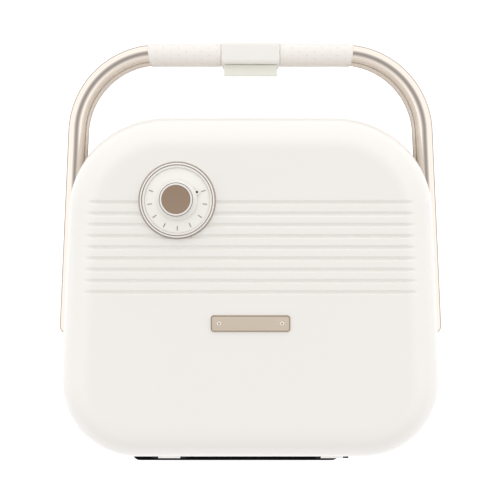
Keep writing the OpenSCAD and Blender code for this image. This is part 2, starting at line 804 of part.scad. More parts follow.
module latch_clip() {
    color([0.93, 0.92, 0.9]) on_lid() difference() {
        union() {
            clip_block();
            both_sides() translate([lug_out - lug_w, 0, 0]) rotate([90, 0, 90]) linear_extrude(lug_w)
                polygon([
                    [clip_back - 1, clip_face_z + 2.6], [latch_y + 1, clip_face_z], [latch_y + 2.4, latch_z],
                    [latch_y + 1, latch_z + 2.4], [clip_back - 1, latch_z + 4]
                ]);
        }
        translate([0, latch_y, latch_z]) rotate([0, 90, 0])
            cylinder(r = latch_pin_r + run_gap, h = 2 * clip_w, center = true);
    }
}

module latch_keeper() {
    color([0.93, 0.92, 0.9]) on_base() {
        clip_block();
        translate([-hook_w / 2 - 1, clip_back - 1, rib_z - rib_t]) cube([hook_w + 2, rib_proud + 1, rib_t]);
    }
}

module latch_pin() {
    color([0.75, 0.75, 0.77]) on_lid() translate([0, latch_y, latch_z]) rotate([0, 90, 0])
        cylinder(r = latch_pin_r, h = 2 * lug_out - 0.6, center = true);
}

// Drawn hooked, then swung free about its pin
module latch_lever() {
    barrel_w = 2 * (lug_out - lug_w - fit_gap);
    color([0.92, 0.91, 0.87])
        on_lid() translate([0, latch_y, latch_z]) rotate([latch_swing, 0, 0]) difference() {
        union() {
            rotate([0, 90, 0]) cylinder(r = latch_barrel_r, h = barrel_w, center = true);
            rotate([90, 0, 90]) linear_extrude(barrel_w, center = true)
                polygon([[-0.9, 0], [1.9, 0], [1.9, 5], [-0.9, 5]]);
            rotate([90, 0, 90]) linear_extrude(hook_w, center = true)
                polygon([
                    [-1.5, 0], [-1.5, hook_z], [-2.8, hook_z], [-2.2, hook_z - 2.2],
                    [0.1, hook_z - 2.2], [0.6, hook_z - 1.4], [0.6, 0]
                ]);
            rotate([90, 0, 90]) linear_extrude(lip_w, center = true)
                polygon([[-1.2, 4.4], [5.4, 4.4], [6, 5], [6, 6], [5.4, 6.6], [-1.2, 6.6]]);
        }
        rotate([0, 90, 0]) cylinder(r = latch_pin_r + run_gap, h = 2 * clip_w, center = true);
    }
}

module upper_handle_bar() { color([0.84, 0.79, 0.73]) on_lid() half_bar(); }
module lower_handle_bar() { color([0.84, 0.79, 0.73]) on_base() half_bar(); }
module upper_bar_caps() { color([0.84, 0.79, 0.73]) on_lid() bar_caps(); }
module lower_bar_caps() { color([0.84, 0.79, 0.73]) on_base() bar_caps(); }
module upper_grips() { color([0.95, 0.92, 0.89]) on_lid() half_grips(); }
module lower_grips() { color([0.95, 0.92, 0.89]) on_base() half_grips(); }
module upper_bar_screws() { color([0.7, 0.7, 0.72]) on_lid() bar_screws(); }
module lower_bar_screws() { color([0.7, 0.7, 0.72]) on_base() bar_screws(); }

// ---------- hinge ----------

// Leaf inside the rear wall, with barrels round the pin from x0 to x0 + w for each span
module hinge_part(spans, leaf_w) {
    difference() {
        union() {
            for (s = spans) translate([s[0], hinge_y, 0]) rotate([0, 90, 0])
                cylinder(r = knuckle_r, h = s[1]);
            for (s = spans) translate([s[0], hinge_y - leaf_d, leaf_lift])
                cube([s[1], leaf_d, notch_r - leaf_lift - 0.3]);
            translate([hinge_x - leaf_w / 2, hinge_y - leaf_d, leaf_lift])
                cube([leaf_w, rear_y - hinge_y + leaf_d - shell_wall - fit_gap, notch_r - leaf_lift - 0.3]);
            translate([hinge_x - leaf_w / 2, hinge_y - leaf_d, leaf_lift]) cube([leaf_w, leaf_t, leaf_h]);
        }
        translate([0, hinge_y, 0]) rotate([0, 90, 0]) cylinder(r = hinge_pin_r + run_gap, h = body_w / 2);
    }
}

module hinge_knuckles() {
    color([0.95, 0.94, 0.92]) on_lid() both_sides()
        hinge_part([[hinge_x - knuckle_w / 2, knuckle_w]], knuckle_w);
}

module hinge_brackets() {
    ear = knuckle_w / 2 + fit_gap;
    color([0.1, 0.1, 0.1]) on_base() both_sides()
        difference() {
            hinge_part([[hinge_x - ear - ear_w, ear_w], [hinge_x + ear, ear_w]], 2 * ear + 2 * ear_w);
            translate([hinge_x - ear, hinge_y, 0]) rotate([0, 90, 0]) cylinder(r = notch_r, h = 2 * ear);
        }
}

module hinge_pins() {
    ear = knuckle_w / 2 + fit_gap;
    color([0.75, 0.75, 0.77]) on_base() both_sides()
        translate([hinge_x - ear - ear_w, hinge_y, 0]) rotate([0, 90, 0])
            cylinder(r = hinge_pin_r, h = 2 * (ear + ear_w));
}

// ---------- timer ----------

module timer_body() {
    color([0.8, 0.8, 0.82]) on_lid() translate([dial_x, dial_y, lid_h - shell_wall - timer_h]) difference() {
        union() {
            cylinder(r = timer_r, h = timer_h - 2);
            cylinder(r = 9, h = timer_h);
        }
        translate([0, 0, timer_h - 12]) cylinder(r = shaft_r + run_gap, h = 20);
    }
}

module timer_shaft() {
    color([0.75, 0.75, 0.77]) on_lid() translate([dial_x, dial_y, lid_h - shell_wall - 11])
        cylinder(r = shaft_r, h = shell_wall + 11 + knob_h - 4);
}

module dial_bezel() {
    r0 = bezel_r - bezel_w;
    h = bezel_h;
    color([0.9, 0.88, 0.85]) on_lid() translate([dial_x, dial_y, lid_h])
        rotate_extrude() polygon([
            [r0, 0], [bezel_r, 0], [bezel_r, h - 1.6], [bezel_r - 0.5, h - 0.8], [bezel_r - 0.9, h - 0.8],
            [bezel_r - 1.1, h - 0.3], [bezel_r - 1.5, h], [bezel_r - 2.2, h], [bezel_r - 2.6, h - 0.5],
            [bezel_r - 2.9, h - 0.5], [bezel_r - 3.2, h - 0.2], [r0 + 0.4, h - 0.4], [r0, h - 1]
        ]);
}

module dial_plate() {
    color([0.93, 0.92, 0.89]) on_lid() translate([dial_x, dial_y, lid_h]) {
        difference() {
            cylinder(r = bezel_r - bezel_w - dial_gap, h = dial_t);
            translate([0, 0, -1]) cylinder(r = shaft_r + 2, h = 10);
        }
        for (i = [0 : tick_count - 1]) rotate([0, 0, first_tick - i * tick_step])
            translate([tick_r, -tick_w / 2, dial_t - tick_h]) cube([tick_l, tick_w, 2 * tick_h]);
    }
}

module timer_knob() {
    lift = dial_t + 2 * tick_h;
    color([0.94, 0.92, 0.89]) on_lid() translate([dial_x, dial_y, lid_h]) difference() {
        union() {
            rotate_extrude() polygon([
                [0, lift], [knob_skirt_r - 0.4, lift], [knob_skirt_r, lift + 0.4],
                [knob_skirt_r, lift + 1.2], [knob_skirt_r - 0.6, lift + 1.8], [knob_r + 0.9, lift + 2.2],
                [knob_r + 0.3, lift + 3], [knob_r, knob_h - 1.6], [knob_r - 0.4, knob_h - 0.5],
                [knob_r - 1, knob_h], [0, knob_h]
            ]);
            rotate([0, 0, pointer_angle]) translate([knob_skirt_r + 0.9, 0, lift])
                cylinder(r = pointer_r, h = 1.6);
        }
        translate([0, 0, knob_h - cap_seat]) cylinder(r = cap_r + run_gap, h = 5);
        cylinder(r = shaft_r + run_gap, h = knob_h - 3.9);
    }
}

module knob_cap() {
    color([0.6, 0.5, 0.43]) on_lid() translate([dial_x, dial_y, lid_h + knob_h - cap_seat])
        cylinder(r = cap_r, h = cap_t);
}

// ---------- lid trim ----------

module nameplate() {
    color([0.83, 0.77, 0.7]) on_lid() translate([0, front_y + nameplate_from_front, lid_h]) difference() {
        linear_extrude(nameplate_t) rounded_rect(nameplate_w, nameplate_d, 2);
        translate([0, 0, nameplate_t - 0.3]) linear_extrude(1)
            rounded_rect(nameplate_w - 2.4, nameplate_d - 2.4, 1.2);
    }
}

module nameplate_rivets() {
    color([0.75, 0.7, 0.64]) on_lid() both_sides()
        translate([nameplate_w / 2 - 5.4, front_y + nameplate_from_front, lid_h + nameplate_t - 0.3])
            rotate_extrude() polygon(concat(
                [[0, 0]],
                [for (a = [0 : 15 : 90]) [rivet_r * cos(a), 0.6 * rivet_r * sin(a)]]
            ));
}

// ---------- base pieces ----------

module bottom_cover() {
    cover_t = 1.8;
    color([0.93, 0.92, 0.9]) on_base() translate([0, cover_y, base_h - cover_seat]) difference() {
        linear_extrude(cover_t) rounded_rect(cover_w - 0.6, cover_d - 0.6, 7.7);
        for (x = [-5 * slot_pitch : slot_pitch : 5 * slot_pitch]) translate([x, 0, -1])
            linear_extrude(5) rounded_rect(slot_w, slot_l, slot_w / 2 - 0.1);
        for (s = cover_screw_spots) translate([s[0], s[1] - cover_y, 0]) {
            translate([0, 0, -1]) cylinder(r = screw_r + run_gap, h = 10);
            translate([0, 0, cover_t - 1.5]) cylinder(r1 = screw_r + 0.3, r2 = screw_head_r + 0.2, h = 1.51);
        }
    }
}

module cover_screws() {
    color([0.7, 0.7, 0.72]) on_base()
        for (s = cover_screw_spots) translate([s[0], s[1], base_h + 0.8]) screw(cover_screw_l);
}

module rubber_feet() {
    color([0.2, 0.2, 0.2]) on_base() for (s = foot_spots) translate([s[0], s[1], base_h]) {
        rotate_extrude() polygon([
            [0, 0], [foot_r, 0], [foot_r, foot_h - 2], [foot_r - 1.4, foot_h - 0.4], [foot_r - 2, foot_h],
            [0, foot_h]
        ]);
        translate([0, 0, -shell_wall - 2.5]) cylinder(r = foot_stem_r, h = shell_wall + 2.5);
        translate([0, 0, -shell_wall - 2.5]) cylinder(r1 = foot_stem_r, r2 = foot_stem_r + 1, h = 2.4);
    }
}

// Black block that the toaster stands on when it is stored upright
module rear_stand() {
    r = stand_corner_r;
    corner = [for (a = [0 : 15 : 90]) [stand_w / 2 - r + r * cos(a), stand_proud - r + r * sin(a)]];
    color([0.05, 0.05, 0.05]) on_base() translate([stand_x, rear_y, stand_top]) difference() {
        linear_extrude(stand_h) polygon(concat(
            corner,
            [for (i = [len(corner) - 1 : -1 : 0]) [-corner[i][0], corner[i][1]]],
            [[-stand_w / 2, 0.1], [stand_w / 2, 0.1]]
        ));
        translate([0, -1, stand_h / 2])
            cube([stand_w - 8, 2 * (stand_proud - stand_wall / 2), stand_h - 2 * stand_wall], center = true);
    }
}

module cord_gland() {
    inner_t = 2.5 - wall_gap;
    outer_y = 2.5 + shell_wall + wall_gap;
    color([0.08, 0.08, 0.08])
        on_base() translate([gland_x, rear_y - shell_wall - 2.5, gland_z]) rotate([-90, 0, 0])
        rotate_extrude() polygon([
            [gland_bore_r, 0], [gland_neck_r + 2, 0], [gland_neck_r + 2, inner_t], [gland_neck_r, inner_t],
            [gland_neck_r, outer_y], [gland_neck_r + 1.7, outer_y], [gland_neck_r + 1.7, outer_y + 2],
            [gland_neck_r + 0.1, gland_l], [gland_bore_r, gland_l]
        ]);
}

module terminal_block() {
    color([0.9, 0.9, 0.86]) on_base()
        translate([-block_x, rear_y - block_from_rear, base_h - shell_wall - block_h]) difference() {
            translate([-block_w / 2, -block_d / 2, 0]) cube([block_w, block_d, block_h]);
            for (i = [-1 : 1]) translate([i * block_w / 3, 0, -1]) cylinder(r = 2, h = 8);
        }
}

module thermostat() {
    color([0.78, 0.76, 0.72]) on_base() translate([0, plate_y, reflector_back]) {
        cylinder(r = 8, h = 3);
        translate([0, 0, 3]) cylinder(r = 6.5, h = 6);
        both_sides() translate([2.5, -1.6, 9]) cube([0.8, 3.2, 7]);
    }
}

module thermal_fuse() {
    fuse_r = 2;
    fuse_l = 12;
    color([0.85, 0.82, 0.75])
        on_base() translate([fuse_x, plate_y - fuse_l, reflector_back + fuse_r + 0.1]) rotate([0, 90, 0]) {
        cylinder(r = fuse_r, h = fuse_l, center = true);
        cylinder(r = fuse_r / 4, h = 3 * fuse_l, center = true);
    }
}

base_shell();
bottom_cover();
cover_screws();
rubber_feet();
rear_stand();
cord_gland();
terminal_block();
lower_frame();
lower_frame_screws();
lower_plate();
lower_heater();
lower_heater_clamps();
lower_reflector();
thermostat();
thermal_fuse();
lower_handle_bar();
lower_bar_caps();
lower_grips();
lower_bar_screws();
latch_keeper();
hinge_brackets();
hinge_pins();
lower_release_lever();
lower_release_pin();
lower_release_spring();
lid_shell();
upper_frame();
upper_frame_screws();
upper_plate();
upper_heater();
upper_heater_clamps();
upper_reflector();
upper_handle_bar();
upper_bar_caps();
upper_grips();
upper_bar_screws();
latch_clip();
latch_pin();
latch_lever();
hinge_knuckles();
upper_release_lever();
upper_release_pin();
upper_release_spring();
timer_body();
timer_shaft();
dial_bezel();
dial_plate();
timer_knob();
knob_cap();
nameplate();
nameplate_rivets();
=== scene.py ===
import math

import bpy
import numpy as np
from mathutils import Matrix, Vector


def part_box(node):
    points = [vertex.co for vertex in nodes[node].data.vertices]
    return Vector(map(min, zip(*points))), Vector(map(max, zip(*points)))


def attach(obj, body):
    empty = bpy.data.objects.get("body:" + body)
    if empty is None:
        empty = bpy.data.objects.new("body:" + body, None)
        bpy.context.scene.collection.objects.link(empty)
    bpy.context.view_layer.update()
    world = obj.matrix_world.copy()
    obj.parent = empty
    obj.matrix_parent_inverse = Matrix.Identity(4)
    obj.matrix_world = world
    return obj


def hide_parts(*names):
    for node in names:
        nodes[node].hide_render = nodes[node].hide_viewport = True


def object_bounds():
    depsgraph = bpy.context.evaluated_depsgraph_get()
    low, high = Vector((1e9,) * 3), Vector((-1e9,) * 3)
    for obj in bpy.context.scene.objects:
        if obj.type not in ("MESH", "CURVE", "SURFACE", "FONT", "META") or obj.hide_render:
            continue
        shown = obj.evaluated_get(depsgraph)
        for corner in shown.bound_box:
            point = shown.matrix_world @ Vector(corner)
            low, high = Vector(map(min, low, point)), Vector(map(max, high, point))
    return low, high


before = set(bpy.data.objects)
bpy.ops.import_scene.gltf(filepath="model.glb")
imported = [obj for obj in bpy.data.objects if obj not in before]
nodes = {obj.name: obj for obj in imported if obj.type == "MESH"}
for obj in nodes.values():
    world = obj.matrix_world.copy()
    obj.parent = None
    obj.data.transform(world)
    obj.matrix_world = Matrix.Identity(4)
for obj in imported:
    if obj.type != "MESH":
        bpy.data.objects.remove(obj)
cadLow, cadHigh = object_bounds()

mm = 0.001
wholeFront = cadLow[1] / mm


# small helpers
def boxMm(node):
    low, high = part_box(node)
    return np.array(low) / mm, np.array(high) / mm


def smoothStep(x):
    t = np.clip(x, 0, 1)
    return t * t * (3 - 2 * t)


def gridQuads(rows, columns, wrapRows=False, wrapColumns=False):
    # corner numbers of every cell of a rows x columns grid, running on round where it wraps
    r = np.arange(rows if wrapRows else rows - 1)
    c = np.arange(columns if wrapColumns else columns - 1)
    r, c = [a.ravel() for a in np.meshgrid(r, c, indexing="ij")]
    r2, c2 = (r + 1) % rows, (c + 1) % columns
    return np.stack([r * columns + c, r * columns + c2, r2 * columns + c2, r2 * columns + c], 1)


def buildMesh(name, points, faceSets):
    # points in millimetres; faceSets holds arrays of quads, arrays of triangles or single rings
    mesh = bpy.data.meshes.new(name)
    points = np.asarray(points, float).reshape(-1, 3)
    rings = []
    for faces in faceSets:
        faces = np.atleast_2d(np.asarray(faces, int))
        rings.append((faces.shape[1], len(faces), faces.ravel()))
    corners = np.concatenate([ring[2] for ring in rings])
    sizes = np.concatenate([np.full(ring[1], ring[0]) for ring in rings])
    starts = np.concatenate([[0], np.cumsum(sizes)[:-1]])
    mesh.vertices.add(len(points))
    mesh.vertices.foreach_set("co", (points * mm).ravel())
    mesh.loops.add(len(corners))
    mesh.loops.foreach_set("vertex_index", corners)
    mesh.polygons.add(len(sizes))
    mesh.polygons.foreach_set("loop_start", starts)
    mesh.polygons.foreach_set("use_smooth", np.ones(len(sizes), bool))
    mesh.update(calc_edges=True)
    mesh.validate()
    thing = bpy.data.objects.new(name, mesh)
    bpy.context.scene.collection.objects.link(thing)
    return thing


def joinSolids(solids):
    # several [points, faceSets] in one, with the later ones' corner numbers moved on
    points, faces, offset = [], [], 0
    for solid in solids:
        points.append(np.asarray(solid[0], float).reshape(-1, 3))
        faces += [np.asarray(f, int) + offset for f in solid[1]]
        offset += len(points[-1])
    return [np.concatenate(points), faces]


def mirrored(solid):
    # the same solid at -x, its faces turned round so that they still point outwards
    points = np.asarray(solid[0], float).reshape(-1, 3) * [-1, 1, 1]
    return [points, [np.atleast_2d(f)[:, ::-1] for f in solid[1]]]


def lathe(profile, steps, centre, closed=False):
    # profile (r, z) turned about Z: x = r cos a, y = r sin a; a point with r = 0 is a single pole,
    # and a closed profile makes a ring with a hole
    turn = np.arange(steps) * 2 * np.pi / steps
    points, rows = [], []
    for r, z in np.asarray(profile, float):
        pole = r < 1e-6
        rows.append(sum(len(p) for p in points) + (np.zeros(steps, int) if pole else np.arange(steps)))
        ring = np.stack([r * np.cos(turn), r * np.sin(turn), np.full(steps, z)], 1)
        points.append(ring[:1] if pole else ring)
    faces = []
    for low, high in zip(rows if closed else rows[:-1], rows[1:] + rows[:1]):
        a, b, c, d = low, np.roll(low, -1), np.roll(high, -1), high
        if low[0] == low[1]:
            faces.append(np.stack([a, c, d], 1))
        elif high[0] == high[1]:
            faces.append(np.stack([a, b, c], 1))
        else:
            faces.append(np.stack([a, b, c, d], 1))
    return [np.concatenate(points) + np.asarray(centre, float), faces]


def addPiece(name, solid, body, material, stands=(), sharp=None):
    # one piece of the picture on its body, with the CAD nodes that it stands for
    piece = buildMesh(name, *solid)
    piece.data.materials.append(material)
    if sharp:
        piece.data.set_sharp_from_angle(angle=math.radians(sharp))
    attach(piece, body)
    if stands:
        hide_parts(*stands)
    return piece


def roundedRectangle(width, depth, radius, steps):
    # outline of a rectangle with round corners, counter-clockwise, and its outward directions
    turn = np.linspace(0, math.pi / 2, steps)
    quarters = [turn + k * math.pi / 2 for k in range(4)]
    signs = [(1, 1), (-1, 1), (-1, -1), (1, -1)]
    middle = np.array([width / 2 - radius, depth / 2 - radius])
    outward = [np.stack([np.cos(q), np.sin(q)], 1) for q in quarters]
    outline = [o * radius + middle * sign for o, sign in zip(outward, signs)]
    return np.concatenate(outline), np.concatenate(outward)


def softPrism(outline, outward, low, high, bevel, steps=4):
    # an outline carried from low to high; near both ends it draws in by bevel (1 - cos t)
    # while the height runs in by bevel (1 - sin t)
    turn = np.linspace(0, math.pi / 2, steps)
    inset = np.concatenate([bevel * (1 - np.sin(turn)), bevel * (1 - np.cos(turn))])
    level = np.concatenate([low + bevel * (1 - np.cos(turn)), high - bevel * (1 - np.sin(turn))])
    flat = outline[None, :, :] - inset[:, None, None] * outward[None, :, :]
    height = np.broadcast_to(level[:, None, None], (*flat.shape[:2], 1))
    points = np.concatenate([flat, height], 2).reshape(-1, 3)
    count = len(outline)
    last = (len(level) - 1) * count
    ring = np.arange(count)
    walls = gridQuads(len(level), count, wrapColumns=True)
    return [points, [walls, ring[::-1][None, :], (ring + last)[None, :]]]


def turnedToX(solid):
    # (u, v, w) becomes (w, u, v): a prism drawn along Z is laid along X
    return [np.asarray(solid[0])[:, [2, 0, 1]], solid[1]]


def outlineOf(polygon, radius):
    # a polygon with each corner rounded off by (1 - t)^2 start + 2 t (1 - t) corner + t^2 end,
    # and its outward directions
    polygon = np.asarray(polygon, float)
    before = polygon - np.roll(polygon, 1, axis=0)
    after = np.roll(polygon, -1, axis=0) - polygon
    before /= np.hypot(*before.T)[:, None]
    after /= np.hypot(*after.T)[:, None]
    t = np.linspace(0, 1, 4)[None, :, None]
    start = (polygon - before * radius)[:, None, :]
    end = (polygon + after * radius)[:, None, :]
    rounded = (1 - t) ** 2 * start + 2 * t * (1 - t) * polygon[:, None, :] + t ** 2 * end
    normalBefore = np.stack([before[:, 1], -before[:, 0]], 1)
    normalAfter = np.stack([after[:, 1], -after[:, 0]], 1)
    blend = (1 - t) * normalBefore[:, None, :] + t * normalAfter[:, None, :]
    blend = blend.reshape(-1, 2)
    return rounded.reshape(-1, 2), blend / np.hypot(*blend.T)[:, None]


# node groups that several materials share
def feed(tree, node, values):
    # links or sets the inputs that values names or numbers
    for key, value in values.items():
        if hasattr(value, "is_linked"):
            tree.links.new(value, node.inputs[key])
        elif value is not None:
            node.inputs[key].default_value = value


def newGroup(name, inputs, outputs):
    # inputs by name with their default values; every output is a plain number
    group = bpy.data.node_groups.new(name, "ShaderNodeTree")
    for label, value in inputs.items():
        kind = "NodeSocketVector" if isinstance(value, tuple) else "NodeSocketFloat"
        group.interface.new_socket(label, in_out="INPUT", socket_type=kind).default_value = value
    for label in outputs:
        group.interface.new_socket(label, in_out="OUTPUT", socket_type="NodeSocketFloat")
    return group, group.nodes.new("NodeGroupInput").outputs, group.nodes.new("NodeGroupOutput")


def mathNode(tree, operation, first, second=None, clamp=False):
    node = tree.nodes.new("ShaderNodeMath")
    node.operation = operation
    node.use_clamp = clamp
    feed(tree, node, {0: first, 1: second})
    return node.outputs[0]


def noiseNode(tree, vector, scale, detail=3.0, roughness=0.5):
    node = tree.nodes.new("ShaderNodeTexNoise")
    feed(tree, node, {"Vector": vector, "Scale": scale, "Detail": detail, "Roughness": roughness})
    return node.outputs[0]


def mixColours(tree, factor, first, second):
    node = tree.nodes.new("ShaderNodeMix")
    node.data_type = "RGBA"
    first, second = [c if hasattr(c, "is_linked") else (*c, 1) for c in (first, second)]
    feed(tree, node, {0: factor, 6: first, 7: second})
    return node.outputs[2]


def objectPlace(tree):
    return tree.nodes.new("ShaderNodeTexCoord").outputs["Object"]


def makeMouldedGroup():
    # moulded plastic: a broad drift of tone, a fine skin, and where handling has dulled it
    group, given, out = newGroup(
        "mouldedSkin", {"Drift Scale": 9.0, "Skin Scale": 900.0, "Rough Low": 0.25, "Rough High": 0.4},
        ["Drift", "Skin", "Rough"],
    )
    place = objectPlace(group)
    dull = noiseNode(group, place, mathNode(group, "MULTIPLY", given["Drift Scale"], 5.3))
    span = mathNode(group, "SUBTRACT", given["Rough High"], given["Rough Low"])
    feed(group, out, {
        "Drift": noiseNode(group, place, given["Drift Scale"], 4.0),
        "Skin": noiseNode(group, place, given["Skin Scale"], 2.0),
        "Rough": mathNode(group, "ADD", given["Rough Low"], mathNode(group, "MULTIPLY", dull, span)),
    })
    return group


def makeBrushedGroup():
    # brushed metal: streaks that run along one axis, plus a broad drift
    group, given, out = newGroup("brushedSkin", {"Stretch": (1, 1, 1), "Scale": 700.0}, ["Streak", "Drift"])
    place = objectPlace(group)
    stretch = group.nodes.new("ShaderNodeVectorMath")
    stretch.operation = "MULTIPLY"
    feed(group, stretch, {0: place, 1: given["Stretch"]})
    streak = noiseNode(group, stretch.outputs[0], given["Scale"], 4.0, 0.6)
    feed(group, out, {"Streak": streak, "Drift": noiseNode(group, place, 14.0)})
    return group


def makeSpeckGroup():
    # specks scattered in a moulded blank: small round spots of several sizes
    group, given, out = newGroup("speckScatter", {"Scale": 500.0, "Size": 0.25}, ["Specks"])
    cells = group.nodes.new("ShaderNodeTexVoronoi")
    feed(group, cells, {"Randomness": 1.0, "Vector": objectPlace(group), "Scale": given["Scale"]})
    split = group.nodes.new("ShaderNodeSeparateColor")
    feed(group, split, {0: cells.outputs["Color"]})
    keep = mathNode(group, "GREATER_THAN", split.outputs[0], 0.55)
    size = mathNode(group, "MULTIPLY", given["Size"], mathNode(group, "ADD", split.outputs[1], 0.35))
    inside = mathNode(group, "SUBTRACT", size, cells.outputs["Distance"])
    edge = mathNode(group, "MULTIPLY", inside, 14.0, clamp=True)
    feed(group, out, {"Specks": mathNode(group, "MULTIPLY", edge, keep)})
    return group


mouldedGroup = makeMouldedGroup()
brushedGroup = makeBrushedGroup()
speckGroup = makeSpeckGroup()


# materials
def newMaterial(name):
    material = bpy.data.materials.new(name)
    material.use_nodes = True
    tree = material.node_tree
    tree.nodes.clear()
    shader = tree.nodes.new("ShaderNodeBsdfPrincipled")
    output = tree.nodes.new("ShaderNodeOutputMaterial")
    tree.links.new(shader.outputs[0], output.inputs[0])
    return material, tree, shader


def placeGroup(tree, group, values):
    node = tree.nodes.new("ShaderNodeGroup")
    node.node_tree = group
    feed(tree, node, values)
    return node.outputs


def addBump(tree, shader, height, strength, distance):
    bump = tree.nodes.new("ShaderNodeBump")
    feed(tree, bump, {"Strength": strength, "Distance": distance, "Height": height})
    feed(tree, shader, {"Normal": bump.outputs[0]})


def mouldedPlastic(name, tone, shade, rough, skin=(900, 0.02), coat=0.0, specular=0.5):
    # skin is the fine texture's scale and its height in millimetres
    material, tree, shader = newMaterial(name)
    mask = placeGroup(tree, mouldedGroup, {"Skin Scale": skin[0], "Rough Low": rough[0], "Rough High": rough[1]})
    feed(tree, shader, {
        "Base Color": mixColours(tree, mask["Drift"], tone, shade), "Roughness": mask["Rough"],
        "Specular IOR Level": specular, "Coat Weight": coat, "Coat Roughness": 0.12,
    })
    addBump(tree, shader, mask["Skin"], 0.2, skin[1] * mm)
    return material


def satinMetal(name, tone, shade, rough, stretch, rim=1.0, scale=700.0, metallic=1.0):
    # streaked along stretch; rim is how much is left of the reflection at glancing angles
    material, tree, shader = newMaterial(name)
    skin = placeGroup(tree, brushedGroup, {"Stretch": stretch, "Scale": scale})
    span = mathNode(tree, "MULTIPLY", skin["Streak"], rough[1] - rough[0])
    feed(tree, shader, {
        "Base Color": mixColours(tree, skin["Drift"], tone, shade), "Metallic": metallic,
        "Specular Tint": (rim, rim, rim, 1), "Roughness": mathNode(tree, "ADD", span, rough[0]),
    })
    addBump(tree, shader, skin["Streak"], 0.12, 0.02 * mm)
    return material


# painted shade at the back of the handle's channel: the depth where it is full, the share where it starts, how fast
# it grows, and its near-black colour
paintedGapShade = {"back": 7.0, "from": 0.35, "gain": 3.0, "tone": (0.02, 0.019, 0.018)}


def paintChannelShade(material):
    # painted shade: the shell's colour is mixed to near-black at the back of the handle's channel, behind the bars,
    # where hardly any light reaches
    tree = material.node_tree
    shader = [n for n in tree.nodes if n.type == "BSDF_PRINCIPLED"][0]
    depth = tree.nodes.new("ShaderNodeAttribute")
    depth.attribute_name = "gapDepth"
    past = mathNode(tree, "SUBTRACT", depth.outputs["Fac"], paintedGapShade["from"])
    deep = mathNode(tree, "MULTIPLY", past, paintedGapShade["gain"], clamp=True)
    colour = shader.inputs["Base Color"].links[0].from_socket
    feed(tree, shader, {"Base Color": mixColours(tree, deep, colour, paintedGapShade["tone"])})


shellPlastic = mouldedPlastic("shell gloss", (0.88, 0.856, 0.818), (0.872, 0.846, 0.808), (0.2, 0.28), coat=0.4)
# painted shade in the handle's channel, mixed into the shell's colour
paintChannelShade(shellPlastic)
trimPlastic = mouldedPlastic("cream trim", (0.88, 0.85, 0.815), (0.86, 0.83, 0.795), (0.38, 0.5), (1400, 0.03))
lipPlastic = mouldedPlastic("latch lip", (0.83, 0.82, 0.745), (0.81, 0.8, 0.725), (0.4, 0.52), (1400, 0.03))
dialEnamel = mouldedPlastic("dial enamel", (0.93, 0.915, 0.86), (0.915, 0.9, 0.84), (0.45, 0.6), (1800, 0.03))
tickPaint = mouldedPlastic("tick paint", (0.36, 0.33, 0.3), (0.3, 0.27, 0.245), (0.5, 0.6), (1800, 0.02))
framePlastic = mouldedPlastic("black frame", (0.028, 0.027, 0.027), (0.02, 0.02, 0.02), (0.42, 0.6), (1100, 0.05))
standPlastic = mouldedPlastic(
    "black stand", (0.004, 0.0038, 0.0035), (0.003, 0.003, 0.003), (0.6, 0.8), (1100, 0.05), specular=0.08
)
footRubber = mouldedPlastic("foot rubber", (0.045, 0.045, 0.047), (0.03, 0.03, 0.03), (0.7, 0.85), (700, 0.08))
ceramicBody = mouldedPlastic("ceramic", (0.78, 0.75, 0.68), (0.7, 0.67, 0.6), (0.6, 0.8), (600, 0.06))
nonStick = mouldedPlastic("non-stick", (0.05, 0.047, 0.046), (0.035, 0.034, 0.033), (0.3, 0.42), (1500, 0.04))
champagne = satinMetal(
    "champagne metal", (0.85, 0.765, 0.69), (0.83, 0.745, 0.67), (0.1, 0.16), (1, 0.05, 1), rim=0.0
)
# metal trim rings whose champagne is darkened to about half: painted shade for the creases at the bezel's steps and
# the knob's top edge
champagneWithPaintedShade = satinMetal("champagne with painted crease shade", (0.42, 0.36, 0.31), (0.38, 0.32, 0.28), (0.2, 0.3), (1, 1, 1))
bronze = satinMetal(
    "bronze disc", (0.37, 0.265, 0.19), (0.345, 0.24, 0.17), (0.35, 0.5), (1, 0.1, 1), metallic=0.4
)
plateMetal = satinMetal(
    "nameplate metal", (0.66, 0.56, 0.455), (0.63, 0.53, 0.425), (0.4, 0.55), (0.04, 1, 1), metallic=0.3
)
rimMetal = satinMetal(
    "nameplate rim", (0.4, 0.33, 0.26), (0.36, 0.29, 0.23), (0.3, 0.4), (0.1, 1, 1), metallic=0.5
)
steel = satinMetal("steel", (0.62, 0.62, 0.64), (0.55, 0.55, 0.57), (0.25, 0.4), (1, 0.1, 1))
reflectorSteel = satinMetal("reflector sheet", (0.72, 0.72, 0.73), (0.62, 0.6, 0.57), (0.18, 0.35), (0.1, 1, 1))
heaterSheath = satinMetal(
    "heater sheath", (0.26, 0.23, 0.21), (0.16, 0.13, 0.12), (0.4, 0.6), (1, 1, 1), scale=260.0
)


dimples = {"axisY": 7.0, "middleZ": 60.0, "rise": 7.5, "pitch": 5.27, "start": 23.0, "radius": 7.0, "size": 0.45}


